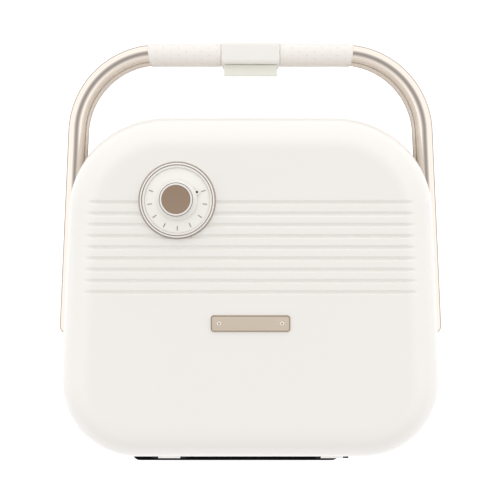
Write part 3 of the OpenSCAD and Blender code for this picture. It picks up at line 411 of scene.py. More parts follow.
def makeDimpleGroup():
    # dimples in staggered rows round a sleeve that lies along X: with u = x / pitch and
    # v = angle / step, p = (u + v) / 2 and q = (u - v) / 2 are whole numbers at each dimple
    group, given, out = newGroup("sleeveDimples", {
        "Axis Y": 0.0, "Middle Z": 0.0, "Rise": 0.0, "Pitch": 0.005, "Step": 0.39, "Start": 0.0, "Radius": 0.007,
        "Size": 0.0005,
    }, ["Dimple"])

    def calc(operation, first, second=None, clamp=False):
        return mathNode(group, operation, first, second, clamp)

    split = group.nodes.new("ShaderNodeSeparateXYZ")
    feed(group, split, {0: objectPlace(group)})
    x, y, z = split.outputs
    up = calc("SUBTRACT", calc("ABSOLUTE", calc("SUBTRACT", z, given["Middle Z"])), given["Rise"])
    angle = calc("ARCTAN2", calc("SUBTRACT", y, given["Axis Y"]), up)
    u = calc("DIVIDE", calc("SUBTRACT", calc("ABSOLUTE", x), given["Start"]), given["Pitch"])
    v = calc("DIVIDE", angle, given["Step"])
    p = calc("MULTIPLY", calc("ADD", u, v), 0.5)
    q = calc("MULTIPLY", calc("SUBTRACT", u, v), 0.5)
    offP, offQ = [calc("SUBTRACT", w, calc("ROUND", w)) for w in (p, q)]
    du = calc("MULTIPLY", calc("ADD", offP, offQ), given["Pitch"])
    dv = calc("MULTIPLY", calc("SUBTRACT", offP, offQ), calc("MULTIPLY", given["Step"], given["Radius"]))
    away = calc("SQRT", calc("ADD", calc("MULTIPLY", du, du), calc("MULTIPLY", dv, dv)))
    share = calc("DIVIDE", away, given["Size"])
    feed(group, out, {"Dimple": calc("SUBTRACT", 1.6, calc("MULTIPLY", share, 1.3), clamp=True)})
    return group


def dimpledGrip():
    material, tree, shader = newMaterial("dimpled grip")
    skin = placeGroup(tree, mouldedGroup, {"Skin Scale": 1300.0, "Rough Low": 0.5, "Rough High": 0.65})
    fine = placeGroup(tree, speckGroup, {"Scale": 900.0, "Size": 0.24})
    pressed = placeGroup(tree, makeDimpleGroup(), {
        "Axis Y": cadLow[1] + dimples["axisY"] * mm, "Middle Z": cadLow[2] + dimples["middleZ"] * mm,
        "Rise": dimples["rise"] * mm, "Pitch": dimples["pitch"] * mm, "Step": math.pi / 8,
        "Start": dimples["start"] * mm, "Radius": dimples["radius"] * mm, "Size": dimples["size"] * mm,
    })["Dimple"]
    base = mixColours(tree, skin["Drift"], (0.905, 0.865, 0.825), (0.89, 0.845, 0.8))
    faint = mixColours(tree, mathNode(tree, "MULTIPLY", fine["Specks"], 0.12), base, (0.5, 0.45, 0.42))
    # painted shade: where the dimples are pressed in, the colour is darkened, standing for the shade in their
    # hollows
    dark = mixColours(tree, mathNode(tree, "MULTIPLY", pressed, 0.42), faint, (0.42, 0.4, 0.36))
    feed(tree, shader, {"Base Color": dark, "Roughness": skin["Rough"]})
    height = mathNode(tree, "SUBTRACT", mathNode(tree, "MULTIPLY", skin["Skin"], 0.2), pressed)
    addBump(tree, shader, height, 0.3, 0.2 * mm)
    return material


gripSkin = dimpledGrip()
print("materials made")


# the two half shells
lidLow, lidHigh = boxMm("lid_shell")
baseLow, baseHigh = boxMm("base_shell")
partZ = (lidLow[2] + baseHigh[2]) / 2

bodyForm = {
    "frontRadius": 66.1, "rearRadius": 51.3, "taper": 4.9, "wall": 2.6, "lidEdge": 24.0, "baseEdge": 20.0,
    "rimEdge": 0.7, "spacing": 3.0,
}
frontRadius, rearRadius = bodyForm["frontRadius"], bodyForm["rearRadius"]
halfWidth = lidHigh[0]
frontY, rearY = lidLow[1], lidHigh[1]
frontCentre = np.array([halfWidth - bodyForm["taper"] - frontRadius, frontY + frontRadius])
rearCentre = np.array([halfWidth - rearRadius, rearY - rearRadius])

# the side's outward direction touches both corner discs: n . (rear - front) = front radius - rear radius
between = rearCentre - frontCentre
sideAngle = math.atan2(between[1], between[0]) - math.acos((frontRadius - rearRadius) / np.hypot(*between))
sideNormal = np.array([math.cos(sideAngle), math.sin(sideAngle)])

hingeForm = {"x": 56.7, "notchRadius": 6.4, "notchWidth": 23.4}
dialCentre = (boxMm("dial_bezel")[0] + boxMm("dial_bezel")[1])[:2] / 2
lidTop = lidHigh[2]

grooves = {
    "count": 9, "first": frontY + 58.95, "pitch": 7.38, "width": 3.4, "floor": 0.9, "depth": 1.5, "before": 9,
    "after": 3,
}
groovesEnd = grooves["first"] + (grooves["count"] - 1) * grooves["pitch"]

# the two tubes, their sleeves, and the channel that each leg lies in
barForm = {
    "radius": 6.0, "rise": 7.5, "proud": 4.4, "bend": 56.0, "gripRadius": 7.0, "gripAngle": 6.5,
    "reach": 196.3, "dome": 5.4, "room": 1.0, "ease": 0.6, "clipGap": 0.2, "lip": 0.9, "play": 0.05,
}


def sideOutline(step):
    # one side from the front edge's end to the rear edge's end, as points and outward directions:
    # an arc about the front centre, a straight run, and an arc about the rear centre.
    # step(y) is the wanted spacing of the points
    arcA = frontRadius * (sideAngle + math.pi / 2)
    startB = frontCentre + frontRadius * sideNormal
    endB = rearCentre + rearRadius * sideNormal
    runB = np.hypot(*(endB - startB))
    arcC = rearRadius * (math.pi / 2 - sideAngle)

    def at(s):
        onRear = np.where(s < arcA + runB, sideAngle, sideAngle + (s - arcA - runB) / rearRadius)
        angle = np.where(s < arcA, s / frontRadius - math.pi / 2, onRear)
        normal = np.stack([np.cos(angle), np.sin(angle)], 1)
        share = np.clip((s - arcA) / runB, 0, 1)[:, None]
        onRun = startB + share * (endB - startB)
        place = np.where((s < arcA + runB)[:, None], onRun, rearCentre + rearRadius * normal)
        return np.where((s < arcA)[:, None], frontCentre + frontRadius * normal, place), normal

    fine = np.linspace(0, arcA + runB + arcC, 4000)
    place, normal = at(fine)
    count = np.concatenate([[0], np.cumsum(np.diff(fine) / step(place[1:, 1]))])
    wanted = np.linspace(0, count[-1], int(math.ceil(count[-1])) + 1)
    return at(np.interp(wanted, count, fine))


def columnShares():
    # shares of the half width, with a column on each edge of the hinge notches
    full = rearCentre[0]
    near = (hingeForm["x"] - hingeForm["notchWidth"] / 2) / full
    far = (hingeForm["x"] + hingeForm["notchWidth"] / 2) / full
    beside, notch, beyond = np.linspace(0, near, 27), np.linspace(near, far, 15), np.linspace(far, 1, 6)
    half = np.concatenate([beside, notch[1:], beyond[1:]])
    return np.concatenate([-half[:0:-1], half])


def wholeOutline(side, normal):
    # the closed outline: right side, rear edge, left side, front edge
    share = columnShares()
    frontEdge = np.stack([share * side[0, 0], np.full(len(share), side[0, 1])], 1)[1:-1]
    rearEdge = np.stack([share * side[-1, 0], np.full(len(share), side[-1, 1])], 1)[1:-1]
    place = np.concatenate([side, rearEdge[::-1], side[::-1] * [-1, 1], frontEdge])
    outward = np.concatenate([
        normal, np.tile([0.0, 1.0], (len(rearEdge), 1)), normal[::-1] * [-1, 1],
        np.tile([0.0, -1.0], (len(frontEdge), 1)),
    ])
    return place, outward


def channelDepth(place, outward, height, inset):
    # how deep the handle's channel is cut in, seen along each outward direction: a half round of
    # radius r about the bar's centre, on the front corner R - (R - depth) / cos(turn), ended
    # squarely behind the bar's tip, and eased from zero by (d + sqrt(d^2 + e^2) - e) / 2
    radius = barForm["radius"] + barForm["room"] + inset
    centre = barForm["radius"] - barForm["proud"]
    above = np.clip(height - barForm["rise"], 0, radius)
    depth = centre + np.sqrt(np.maximum(radius * radius - above * above, 0))
    depth = depth * (1 - smoothStep((height - barForm["rise"] - radius + 0.5) / 0.9))
    cosTurn = np.clip(np.abs(outward[:, 0]) * sideNormal[0] + outward[:, 1] * sideNormal[1], 0.2, 1)
    onFront = place[:, 1] < frontCentre[1] + frontRadius * sideNormal[1]
    cornerDepth = frontRadius - (frontRadius - depth[:, None]) / cosTurn[None, :]
    reached = np.where(onFront[None, :], cornerDepth, depth[:, None])
    ease = barForm["ease"]
    reached = 0.5 * (reached + np.sqrt(reached * reached + ease * ease)) - ease / 2
    past = place[:, 1] - (wholeFront + barForm["reach"] + radius) + 0.5
    return np.maximum(reached, 0) * (1 - smoothStep(past))[None, :]


def grooveDepth(y):
    # sloping sides from the groove's edge down to its flat floor, eased at both ends
    turn = (y - grooves["first"]) / grooves["pitch"]
    nearest = np.clip(np.round(turn), 0, grooves["count"] - 1)
    off = np.abs(turn - nearest) * grooves["pitch"]
    run = (grooves["width"] - grooves["floor"]) / 2
    return grooves["depth"] * smoothStep((grooves["width"] / 2 - off) / run)


def shellSurface(place, outward, height, edge, inset, rimEdge):
    # rows from the rim up the wall and over the rounded edge, close together at the channel;
    # every point is outline - depth * outward, the depth being the larger of the channel's and
    # of inset plus what the rim's or the edge's rounding draws in
    wallTop = height - edge
    rimTurn = np.linspace(0, math.pi / 2, 4)
    low = rimStart + bodyForm["rimEdge"] * (1 - np.cos(rimTurn))
    rimIn = rimEdge * (1 - np.sin(rimTurn))
    rise = barForm["rise"]
    channelTop = rise + barForm["radius"] + barForm["room"] + inset
    wall = np.concatenate([
        np.linspace(low[-1] + 0.8, hingeForm["notchRadius"], 4), [rise],
        rise + (channelTop - rise) * np.sin(np.linspace(0.12, 1.35, 9)),
        np.linspace(channelTop - 0.1, channelTop + 0.7, 7),
        np.linspace(channelTop + 1.6, wallTop - 0.5, 4),
    ])
    turn = np.linspace(0, math.pi / 2, 19)
    z = np.concatenate([low, wall, wallTop + edge * np.sin(turn)])
    drawnIn = np.concatenate([rimIn, np.zeros(len(wall)), edge * (1 - np.cos(turn))])
    channel = channelDepth(place, outward, z, inset)
    depth = np.maximum(inset + drawnIn[:, None], channel + (drawnIn * (z < wallTop))[:, None])
    flat = place[None, :, :] - depth[:, :, None] * outward[None, :, :]
    return np.concatenate([flat, np.broadcast_to(z[:, None, None], (*depth.shape, 1))], 2), channel


def capRows(ring, sideCount):
    # the flat face inside a ring: straight rows from the left side's points to the right side's
    right, share = ring[:sideCount, None], columnShares()
    y, z = [np.repeat(right[..., k], len(share), 1) for k in (1, 2)]
    return np.stack([right[..., 0] * share, y, z], 2)


def capNumbers(sideCount, ringStart, innerStart):
    # the point numbers of a cap's rows: its border is the ring, its own points start at innerStart
    columns = len(columnShares()) - 1
    right = np.arange(sideCount)
    left = sideCount + (columns - 1) + (sideCount - 1 - right)
    number = np.zeros((sideCount, columns + 1), int)
    number[:, -1] = ringStart + right
    number[:, 0] = ringStart + left
    number[-1, 1:-1] = ringStart + sideCount + np.arange(columns - 1)[::-1]
    number[0, 1:-1] = ringStart + 2 * sideCount + (columns - 1) + np.arange(columns - 1)
    own = np.arange((sideCount - 2) * (columns - 1)).reshape(sideCount - 2, columns - 1)
    number[1:-1, 1:-1] = innerStart + own
    return number


def openedCaps(outer, inner, gone):
    # faces of both caps without the cells in the window, and the walls that join them round it
    def cells(number):
        corners = [number[:-1, :-1], number[:-1, 1:], number[1:, 1:], number[1:, :-1]]
        return np.stack(corners, 2)[~gone]

    faces = [cells(outer), cells(inner)[:, ::-1]]
    rows, columns = np.where(gone)
    i0, i1, j0, j1 = rows.min(), rows.max() + 1, columns.min(), columns.max() + 1
    edges = [
        (outer[i0, j0:j1 + 1], inner[i0, j0:j1 + 1]), (outer[i0:i1 + 1, j1], inner[i0:i1 + 1, j1]),
        (outer[i1, j0:j1 + 1][::-1], inner[i1, j0:j1 + 1][::-1]),
        (outer[i0:i1 + 1, j0][::-1], inner[i0:i1 + 1, j0][::-1]),
    ]
    for high, low in edges:
        faces.append(np.stack([high[:-1], low[:-1], low[1:], high[1:]], 1)[:, ::-1])
    return faces


def makeShell(height, edge, step, grooved, window):
    # a half shell standing on its rim, with the cap's cells between the window's two corners left out
    side, normal = sideOutline(step)
    place, outward = wholeOutline(side, normal)
    outer, channel = shellSurface(place, outward, height, edge, 0.0, bodyForm["rimEdge"])
    wall = bodyForm["wall"]
    inner = shellSurface(place, outward, height - wall, edge - wall, wall, 0.0)[0]
    count = len(side)
    outerCap, innerCap = capRows(outer[-1], count), capRows(inner[-1], count)
    if grooved:
        for surface in (outer, outerCap):
            floor = height - grooveDepth(surface[..., 1])
            top = surface[..., 2]
            surface[..., 2] = np.where(top > height - 6, np.minimum(top, floor), top)
    rows, around = outer.shape[:2]
    size = rows * around
    outerOwn, innerOwn = [cap[1:-1, 1:-1].reshape(-1, 3) for cap in (outerCap, innerCap)]
    points = np.concatenate([outer.reshape(-1, 3), inner.reshape(-1, 3), outerOwn, innerOwn])

    # the hinge notches: the rows below the notch's top, between its two edges on the rear side
    rim = np.arange(around)
    nextRim = np.roll(rim, -1)
    middleX = np.abs(place[rim, 0] + place[nextRim, 0]) / 2
    onRear = (place[rim, 1] > side[-1, 1] - 1e-6) & (place[nextRim, 1] > side[-1, 1] - 1e-6)
    inNotch = onRear & (np.abs(middleX - hingeForm["x"]) < hingeForm["notchWidth"] / 2)
    top = int(np.argmin(np.abs(outer[:, 0, 2] - hingeForm["notchRadius"])))
    kept = np.ones((rows - 1, around), bool)
    kept[:top, inNotch] = False
    quads = gridQuads(rows, around, wrapColumns=True)[kept.ravel()]
    across = np.stack([rim, size + rim, size + nextRim, nextRim], 1)
    rimFaces, roof = across[~inNotch], across[inNotch] + top * around
    opens = np.where(inNotch & ~np.roll(inNotch, 1))[0]
    closes = nextRim[np.where(inNotch & ~np.roll(inNotch, -1))[0]]
    steps = np.arange(top)[:, None] * around
    left, right = steps + opens, steps + closes
    jambA = np.stack([size + left, size + left + around, left + around, left], 2)
    jambB = np.stack([right, right + around, size + right + around, size + right], 2)

    outerNumber = capNumbers(count, size - around, 2 * size)
    innerNumber = capNumbers(count, 2 * size - around, 2 * size + len(outerOwn))
    middle = (outerCap[:-1, :-1] + outerCap[1:, 1:])[..., :2] / 2
    gone = ((middle > window[0]) & (middle < window[1])).all(2)
    straight = gone.any(1)[:, None] & gone.any(0)[None, :]
    faces = [quads, quads[:, ::-1] + size, rimFaces, roof, jambA.reshape(-1, 4), jambB.reshape(-1, 4)]
    depths = np.concatenate([channel.ravel(), np.zeros(len(points) - size)])
    return points, faces + openedCaps(outerNumber, innerNumber, straight), depths


rimStart = lidLow[2] - partZ


def spacing(nearEnd, inGrooves=None):
    # the wanted spacing of the outline's points by y: fine where the channel ends and in the grooves
    def step(y):
        channelEnd = wholeFront + barForm["reach"] + barForm["radius"] + barForm["room"]
        wanted = np.where(np.abs(y - channelEnd) < 2, nearEnd, bodyForm["spacing"])
        if inGrooves:
            among = (y > grooves["first"] - grooves["before"]) & (y < groovesEnd + grooves["after"])
            wanted = np.where(among, inGrooves, wanted)
        return wanted
    return step


def addShell(name, points, faces, depths, body, stands):
    # gapDepth: how deep each point lies in the handle's channel, 0 outside it and 1 at its back; the shell's
    # material turns it into painted shade
    shell = addPiece(name, [points, faces], body, shellPlastic, stands, 38)
    mark = shell.data.attributes.new("gapDepth", "FLOAT", "POINT")
    mark.data.foreach_set("value", np.clip(depths / paintedGapShade["back"], 0, 1))


dialHole, coverRim = 5, 14
points, faces, depths = makeShell(
    lidHigh[2] - partZ, bodyForm["lidEdge"], spacing(0.4, grooves["pitch"] / 13), True,
    [dialCentre - dialHole, dialCentre + dialHole],
)
points[:, 2] += partZ
addShell("lidShell", points, faces, depths, "lid", ["lid_shell"])

coverLow, coverHigh = boxMm("bottom_cover")
points, faces, depths = makeShell(
    partZ - baseLow[2], bodyForm["baseEdge"], spacing(0.3), False,
    [coverLow[:2] + coverRim, coverHigh[:2] - coverRim],
)
points[:, 2] = partZ - points[:, 2]
addShell("baseShell", points, [f[:, ::-1] for f in faces], depths, "base", ["base_shell"])
print("shells made")


# the handle's tubes and sleeves
runY = wholeFront + barForm["gripRadius"]
tipY = wholeFront + barForm["reach"]
tipX = halfWidth + barForm["proud"] - barForm["radius"]
slope = bodyForm["taper"] / (rearCentre[1] - frontCentre[1])
cornerX = tipX - (tipY - runY) * slope
bend = barForm["bend"]
bendTurn = math.pi / 2 - math.atan(slope)
bendX = cornerX - bend * math.tan(bendTurn / 2)


def barStops():
    # the centreline as [x, y, heading]: up the left leg's end, round both bends, out to the right tip
    turn = np.linspace(0, bendTurn, 40)
    right = np.stack([bendX + bend * np.sin(turn), runY + bend - bend * np.cos(turn), turn], 1)
    leg = np.linspace(0, 1, 24)[1:, None] * (np.array([tipX, tipY, bendTurn]) - right[-1])
    half = np.concatenate([right, right[-1] + leg])
    middle = np.linspace(-bendX, bendX, 30)[1:-1]
    run = np.stack([middle, np.full(len(middle), runY), np.zeros(len(middle))], 1)
    return np.concatenate([half[::-1] * [-1, 1, -1], run, half])


def tubeAlong(stops, radii, z, sides):
    # rings round the centreline: sideways by r cos a, up by r sin a
    turn = np.arange(sides) * 2 * np.pi / sides
    side = np.stack([np.sin(stops[:, 2]), -np.cos(stops[:, 2])], 1)
    out = radii[:, None] * np.cos(turn)[None, :]
    up = radii[:, None] * np.sin(turn)[None, :]
    x = stops[:, 0][:, None] + out * side[:, 0][:, None]
    y = stops[:, 1][:, None] + out * side[:, 1][:, None]
    return np.stack([x, y, z + up], 2)


def closedTube(stops, radii, z, poles, sides=48):
    # the rings, with a pole at each end
    rings = tubeAlong(stops, radii, z, sides)
    count = len(rings) * sides
    ring, last = np.arange(sides), count - sides
    after = np.roll(ring, -1)
    start = np.stack([np.full(sides, count), ring, after], 1)
    end = np.stack([np.full(sides, count + 1), last + after, last + ring], 1)
    quads = gridQuads(len(rings), sides, wrapColumns=True)
    return [np.concatenate([rings.reshape(-1, 3), poles]), [quads[:, ::-1], start, end]]


def domeStops(stop, outward):
    # stops and radii shares of a rounded end: along by sin, radius by cos
    turn = np.linspace(0, math.pi / 2, 9)[1:-1]
    along = barForm["dome"] * np.sin(turn)
    direction = outward * np.array([math.cos(stop[2]), math.sin(stop[2])])
    places = stop[:2] + along[:, None] * direction
    stops = np.column_stack([places, np.full(len(turn), stop[2])])
    return stops, np.cos(turn), stop[:2] + barForm["dome"] * direction


def makeBar(name, z, body, stands):
    stops = barStops()
    lead, leadShare, leadPole = domeStops(stops[0], -1)
    tail, tailShare, tailPole = domeStops(stops[-1], 1)
    every = np.concatenate([lead[::-1], stops, tail])
    radii = barForm["radius"] * np.concatenate([leadShare[::-1], np.ones(len(stops)), tailShare])
    poles = np.array([[*leadPole, z], [*tailPole, z]])
    addPiece(name, closedTube(every, radii, z, poles), body, champagne, stands)


upperZ, lowerZ = partZ + barForm["rise"], partZ - barForm["rise"]
makeBar("upperBar", upperZ, "lid", ["upper_handle_bar", "upper_bar_caps"])
makeBar("lowerBar", lowerZ, "base", ["lower_handle_bar", "lower_bar_caps"])


def makeGrips(name, z, body, stands):
    # a sleeve from the clip to a little way round the bend: outer skin, rounded lips and inner skin
    straight = np.linspace(boxMm("latch_keeper")[1][0] + barForm["clipGap"], bendX, 40)
    turn = np.radians(np.linspace(0, barForm["gripAngle"], 10))[1:]
    stops = np.concatenate([
        np.stack([straight, np.full(len(straight), runY), np.zeros(len(straight))], 1),
        np.stack([bendX + bend * np.sin(turn), runY + bend * (1 - np.cos(turn)), turn], 1),
    ])
    lip, outside, inside = barForm["lip"], barForm["gripRadius"], barForm["radius"] + barForm["play"]
    lipTurn = np.linspace(0, math.pi / 2, 6)
    travel = np.concatenate([[0], np.cumsum(np.hypot(*np.diff(stops[:, :2], axis=0).T))])

    def at(s):
        return np.stack([np.interp(s, travel, stops[:, k]) for k in range(3)], 1)

    outerS = np.linspace(lip, travel[-1] - lip, 60)
    startLip = at(lip * (1 - np.sin(lipTurn)))[::-1]
    endLip = at(travel[-1] - lip * (1 - np.sin(lipTurn)))
    lipRadius = outside - lip * (1 - np.cos(lipTurn))
    every = np.concatenate([startLip[:-1], at(outerS), endLip[1:], at(np.linspace(travel[-1], 0, 30))])
    radii = np.concatenate([
        lipRadius[::-1][:-1], np.full(len(outerS), outside), lipRadius[1:], np.full(30, inside)
    ])
    rings = tubeAlong(every, radii, z, 64)
    solid = [rings.reshape(-1, 3), [gridQuads(len(every), 64, wrapRows=True, wrapColumns=True)[:, ::-1]]]
    addPiece(name, joinSolids([solid, mirrored(solid)]), body, gripSkin, stands, 50)


makeGrips("upperGrips", upperZ, "lid", ["upper_grips"])
makeGrips("lowerGrips", lowerZ, "base", ["lower_grips"])
print("handle made")


# the latch
latchForm = {
    "clipHalf": 20.0, "clipDeep": 15.0, "clipFace": 0.6, "clipTop": 15.1, "clipRound": 3.0, "free": 8.0,
    "lipHalf": 18.4, "lugOut": 17.4, "lugWide": 2.8, "pinY": 18.1, "pinZ": 3.0, "barrel": 2.6, "hookHalf": 12.0,
    "hookZ": -10.9, "ribHalf": 13.0,
}


def blockAlongX(polygon, low, high, bevel=0.4, radius=0.35):
    # a counter-clockwise (y, z) polygon carried along X
    outline, outward = outlineOf(polygon, radius)
    return turnedToX(softPrism(outline, outward, low, high, bevel))


def clipBlock(up):
    # one half of the clip, above (up = 1) or below (up = -1) the parting plane
    half, deep, face, top = [latchForm[key] for key in ("clipHalf", "clipDeep", "clipFace", "clipTop")]
    outline, outward = roundedRectangle(deep, top - face, latchForm["clipRound"], 10)
    middle = [wholeFront + deep / 2, partZ + up * (face + top) / 2]
    return turnedToX(softPrism(outline + middle, outward, -half, half, 0.7, 6))


def makeLatch():
    back = wholeFront + latchForm["clipDeep"]
    pin = np.array([wholeFront + latchForm["pinY"], partZ + latchForm["pinZ"]])
    lug = [
        [back - 1, partZ + 3.2], [pin[0] + 1, partZ + 0.6], [pin[0] + 2.4, pin[1]], [pin[0] + 1, pin[1] + 2.4],
        [back - 1, partZ + 7],
    ]
    lugIn, lugOut = latchForm["lugOut"] - latchForm["lugWide"], latchForm["lugOut"]
    lugs = [blockAlongX(lug, lugIn, lugOut), blockAlongX(lug, -lugOut, -lugIn)]
    addPiece("latchClip", joinSolids([clipBlock(1), *lugs]), "lid", trimPlastic, ["latch_clip"], 40)

    rib = [[back - 1, partZ - 7.5], [back + 1.2, partZ - 7.5], [back + 1.2, partZ - 5.1], [back - 1, partZ - 5.1]]
    keeper = joinSolids([clipBlock(-1), blockAlongX(rib, -latchForm["ribHalf"], latchForm["ribHalf"])])
    addPiece("latchKeeper", keeper, "base", trimPlastic, ["latch_keeper"], 40)

    hook = latchForm["hookZ"]
    lip = [[-2.0, 4.4], [5.4, 4.4], [6, 5], [6, 6], [5.4, 6.6], [-2.0, 6.6]]
    arm = [[-0.9, 0], [1.9, 0], [1.9, 5], [-0.9, 5]]
    claw = [
        [-1.5, 0], [-1.5, hook], [-2.8, hook], [-2.2, hook - 2.2], [0.1, hook - 2.2], [0.6, hook - 1.4], [0.6, 0],
    ]
    turn = np.arange(16) * math.pi / 8
    barrel = latchForm["barrel"] * np.stack([np.cos(turn), np.sin(turn)], 1)
    swing = math.radians(latchForm["free"])
    turned = np.array([[math.cos(swing), math.sin(swing)], [-math.sin(swing), math.cos(swing)]])
    barrelHalf = latchForm["lugOut"] - latchForm["lugWide"] - 0.4
    forms = [(lip, latchForm["lipHalf"]), (arm, barrelHalf), (claw, latchForm["hookHalf"]), (barrel, barrelHalf)]
    lever = [blockAlongX(np.array(form) @ turned + pin, -half, half, 0.3, 0.25) for form, half in forms]
    addPiece("latchLever", joinSolids(lever), "latch", lipPlastic, ["latch_lever"], 40)


makeLatch()
print("latch made")


# the timer's dial and knob
dialForm = {
    "ticks": 9, "firstTick": 200.0, "tickStep": 27.5, "tickFrom": 16.7, "tickTo": 19.7, "tickWide": 0.62,
    "tickLow": 1.4, "tickHigh": 1.8, "nubAngle": 202.7, "nubReach": 14.1,
    "collarRadius": 10.72, "collarZ": 15.42, "collarSize": 0.34,
}
dialPlace = (*dialCentre, lidTop)


def makeDial():
    bezel = [
        [21.5, -1.7], [25.5, -1.7], [25.5, 2.3], [25.3, 2.6], [24.9, 2.8], [24.5, 3.3], [24.2, 3.75], [23.9, 3.95],
        [23.6, 3.95], [23.35, 3.7], [23.0, 3.5], [22.7, 3.5], [22.3, 3.55], [21.9, 3.5], [21.65, 3.35], [21.5, 3.0],
    ]
    ring = lathe(bezel, 160, dialPlace, closed=True)
    addPiece("dialBezel", ring, "lid", trimPlastic, ["dial_bezel"], 60)
    outerStrip = [[24.5, 2.6], [25.45, 2.4], [25.44, 2.6], [24.95, 3.25], [24.6, 3.4], [24.45, 3.3]]
    innerStrip = [[22.75, 3.3], [23.5, 3.3], [23.5, 3.8], [23.4, 3.86], [22.85, 3.56], [22.75, 3.45]]
    strips = [lathe(strip, 160, dialPlace, closed=True) for strip in (outerStrip, innerStrip)]
    # the trims' darkened metal is painted shade for the bezel's two creases
    addPiece("bezelTrims", joinSolids(strips), "lid", champagneWithPaintedShade)

    plate = [[4.2, 0.05], [21.3, 0.05], [21.4, 0.15], [21.4, 1.45], [21.3, 1.6], [4.2, 1.6]]
    face = lathe(plate, 128, dialPlace, closed=True)
    addPiece("dialFace", face, "lid", dialEnamel, ["dial_plate"], 40)

    middle = (dialForm["tickFrom"] + dialForm["tickTo"]) / 2
    wide, low, high = dialForm["tickWide"], lidTop + dialForm["tickLow"], lidTop + dialForm["tickHigh"]
    outline, outward = roundedRectangle(dialForm["tickTo"] - dialForm["tickFrom"], wide, wide * 0.3, 3)
    marks = []
    for index in range(dialForm["ticks"]):
        angle = math.radians(dialForm["firstTick"] - index * dialForm["tickStep"])
        spin = np.array([[math.cos(angle), math.sin(angle)], [-math.sin(angle), math.cos(angle)]])
        marks.append(softPrism(outline @ spin + dialCentre + middle * spin[0], outward @ spin, low, high, 0.08, 2))
    addPiece("dialTicks", joinSolids(marks), "lid", tickPaint, sharp=30)


def makeKnob():
    body = [
        [0, 2.0], [12.8, 2.0], [13.2, 2.4], [13.2, 3.1], [13.05, 3.5], [12.6, 3.8], [11.9, 4.15], [11.5, 4.7],
        [11.3, 5.4], [11.0, 14.2], [10.95, 14.7], [10.8, 15.15], [10.5, 15.6], [10.2, 15.88], [9.9, 16.0],
        [9.55, 15.98], [9.42, 15.85], [9.4, 14.8], [0, 14.8],
    ]
    angle = math.radians(dialForm["nubAngle"])
    nubPlace = np.array(dialPlace) + dialForm["nubReach"] * np.array([math.cos(angle), math.sin(angle), 0])
    nub = [[0, 2.0], [1.9, 2.0], [1.9, 3.0], [1.8, 3.3], [1.5, 3.5], [0, 3.58]]
    knob = joinSolids([lathe(body, 128, dialPlace), lathe(nub, 40, nubPlace)])
    addPiece("timerKnob", knob, "timer", trimPlastic, ["timer_knob"], 50)
    dot = lathe([[0, 3.3], [0.8, 3.3], [0.8, 3.56], [0.7, 3.6], [0, 3.6]], 32, nubPlace)
    addPiece("pointerDot", dot, "timer", framePlastic, sharp=50)
    # the collar is a thin wire sunk to half its depth in the knob's top edge, in darkened champagne that is painted
    # shade for the crease there
    turn = np.linspace(0, 2 * math.pi, 18, endpoint=False)
    wire = np.stack([np.cos(turn), np.sin(turn)], 1) * dialForm["collarSize"]
    collar = lathe(wire + [dialForm["collarRadius"], dialForm["collarZ"]], 128, dialPlace, closed=True)
    addPiece("knobCollar", collar, "timer", champagneWithPaintedShade)
    cap = [[0, 14.8], [9.35, 14.8], [9.35, 15.55], [9.25, 15.7], [9.0, 15.78], [8.7, 15.72], [0, 15.72]]
    addPiece("knobDisc", lathe(cap, 128, dialPlace), "timer", bronze, ["knob_cap"], 40)


makeDial()
makeKnob()
print("dial made")


# the nameplate
def ringAlong(outline, outward, profile):
    # a closed profile of (inset, z) carried round an outline
    profile = np.asarray(profile, float)
    flat = outline[None, :, :] - profile[:, 0][:, None, None] * outward[None, :, :]
    height = np.broadcast_to(profile[:, 1][:, None, None], (*flat.shape[:2], 1))
    points = np.concatenate([flat, height], 2).reshape(-1, 3)
    return [points, [gridQuads(len(profile), len(outline), wrapRows=True, wrapColumns=True)]]


plateForm = {"corner": 2.0, "thick": 0.85, "rivetX": 20.7, "rivetRadius": 1.45, "rivetZ": 0.8, "rivetHigh": 0.55}


def makeNameplate():
    low, high = boxMm("nameplate")
    middle, base = (low + high)[:2] / 2, low[2]
    outline, outward = roundedRectangle(high[0] - low[0], high[1] - low[1], plateForm["corner"], 8)
    sheet = softPrism(outline + middle, outward, base, base + plateForm["thick"], 0.15, 3)
    addPiece("nameplateSheet", sheet, "lid", plateMetal, ["nameplate"], 40)
    profile = np.array([[0.05, 0.3], [0.05, 0.85], [0.25, 1.08], [0.6, 1.08], [0.85, 0.85], [0.85, 0.3]])
    border = ringAlong(outline + middle, outward, profile + [0, base])
    addPiece("nameplateRim", border, "lid", rimMetal, sharp=40)
    turn = np.linspace(0, math.pi / 2, 7)
    dome = np.stack([
        plateForm["rivetRadius"] * np.cos(turn), plateForm["rivetZ"] + plateForm["rivetHigh"] * np.sin(turn)
    ], 1)
    stud = np.concatenate([[[0, 0.5], [plateForm["rivetRadius"], 0.5]], dome])
    studs = [lathe(stud, 32, (side * plateForm["rivetX"], middle[1], base)) for side in (-1, 1)]
    addPiece("nameplateRivets", joinSolids(studs), "lid", champagne, ["nameplate_rivets"], 40)


makeNameplate()


# the feet
footForm = {"frontX": 79.7, "frontY": wholeFront + 94.4, "rearX": 88.4, "rearY": rearCentre[1] + 13}


def makeFeet():
    front, rear = (footForm["frontX"], footForm["frontY"]), (footForm["rearX"], footForm["rearY"])
    form = [
        [0, 1.2], [3.8, 1.2], [3.9, 0.3], [4.2, 0.0], [6.4, 0.0], [7.2, 0.1], [8.0, 0.5], [8.7, 1.3], [9.0, 2.2],
        [9.0, 6.0], [8.9, 6.2], [0, 6.2],
    ]
    spots = [(-front[0], front[1]), front, rear, (-rear[0], rear[1])]
    feet = joinSolids([lathe(form, 64, (*spot, 0)) for spot in spots])
    addPiece("rubberFeet", feet, "base", footRubber, ["rubber_feet"], 35)


makeFeet()
print("trim made")


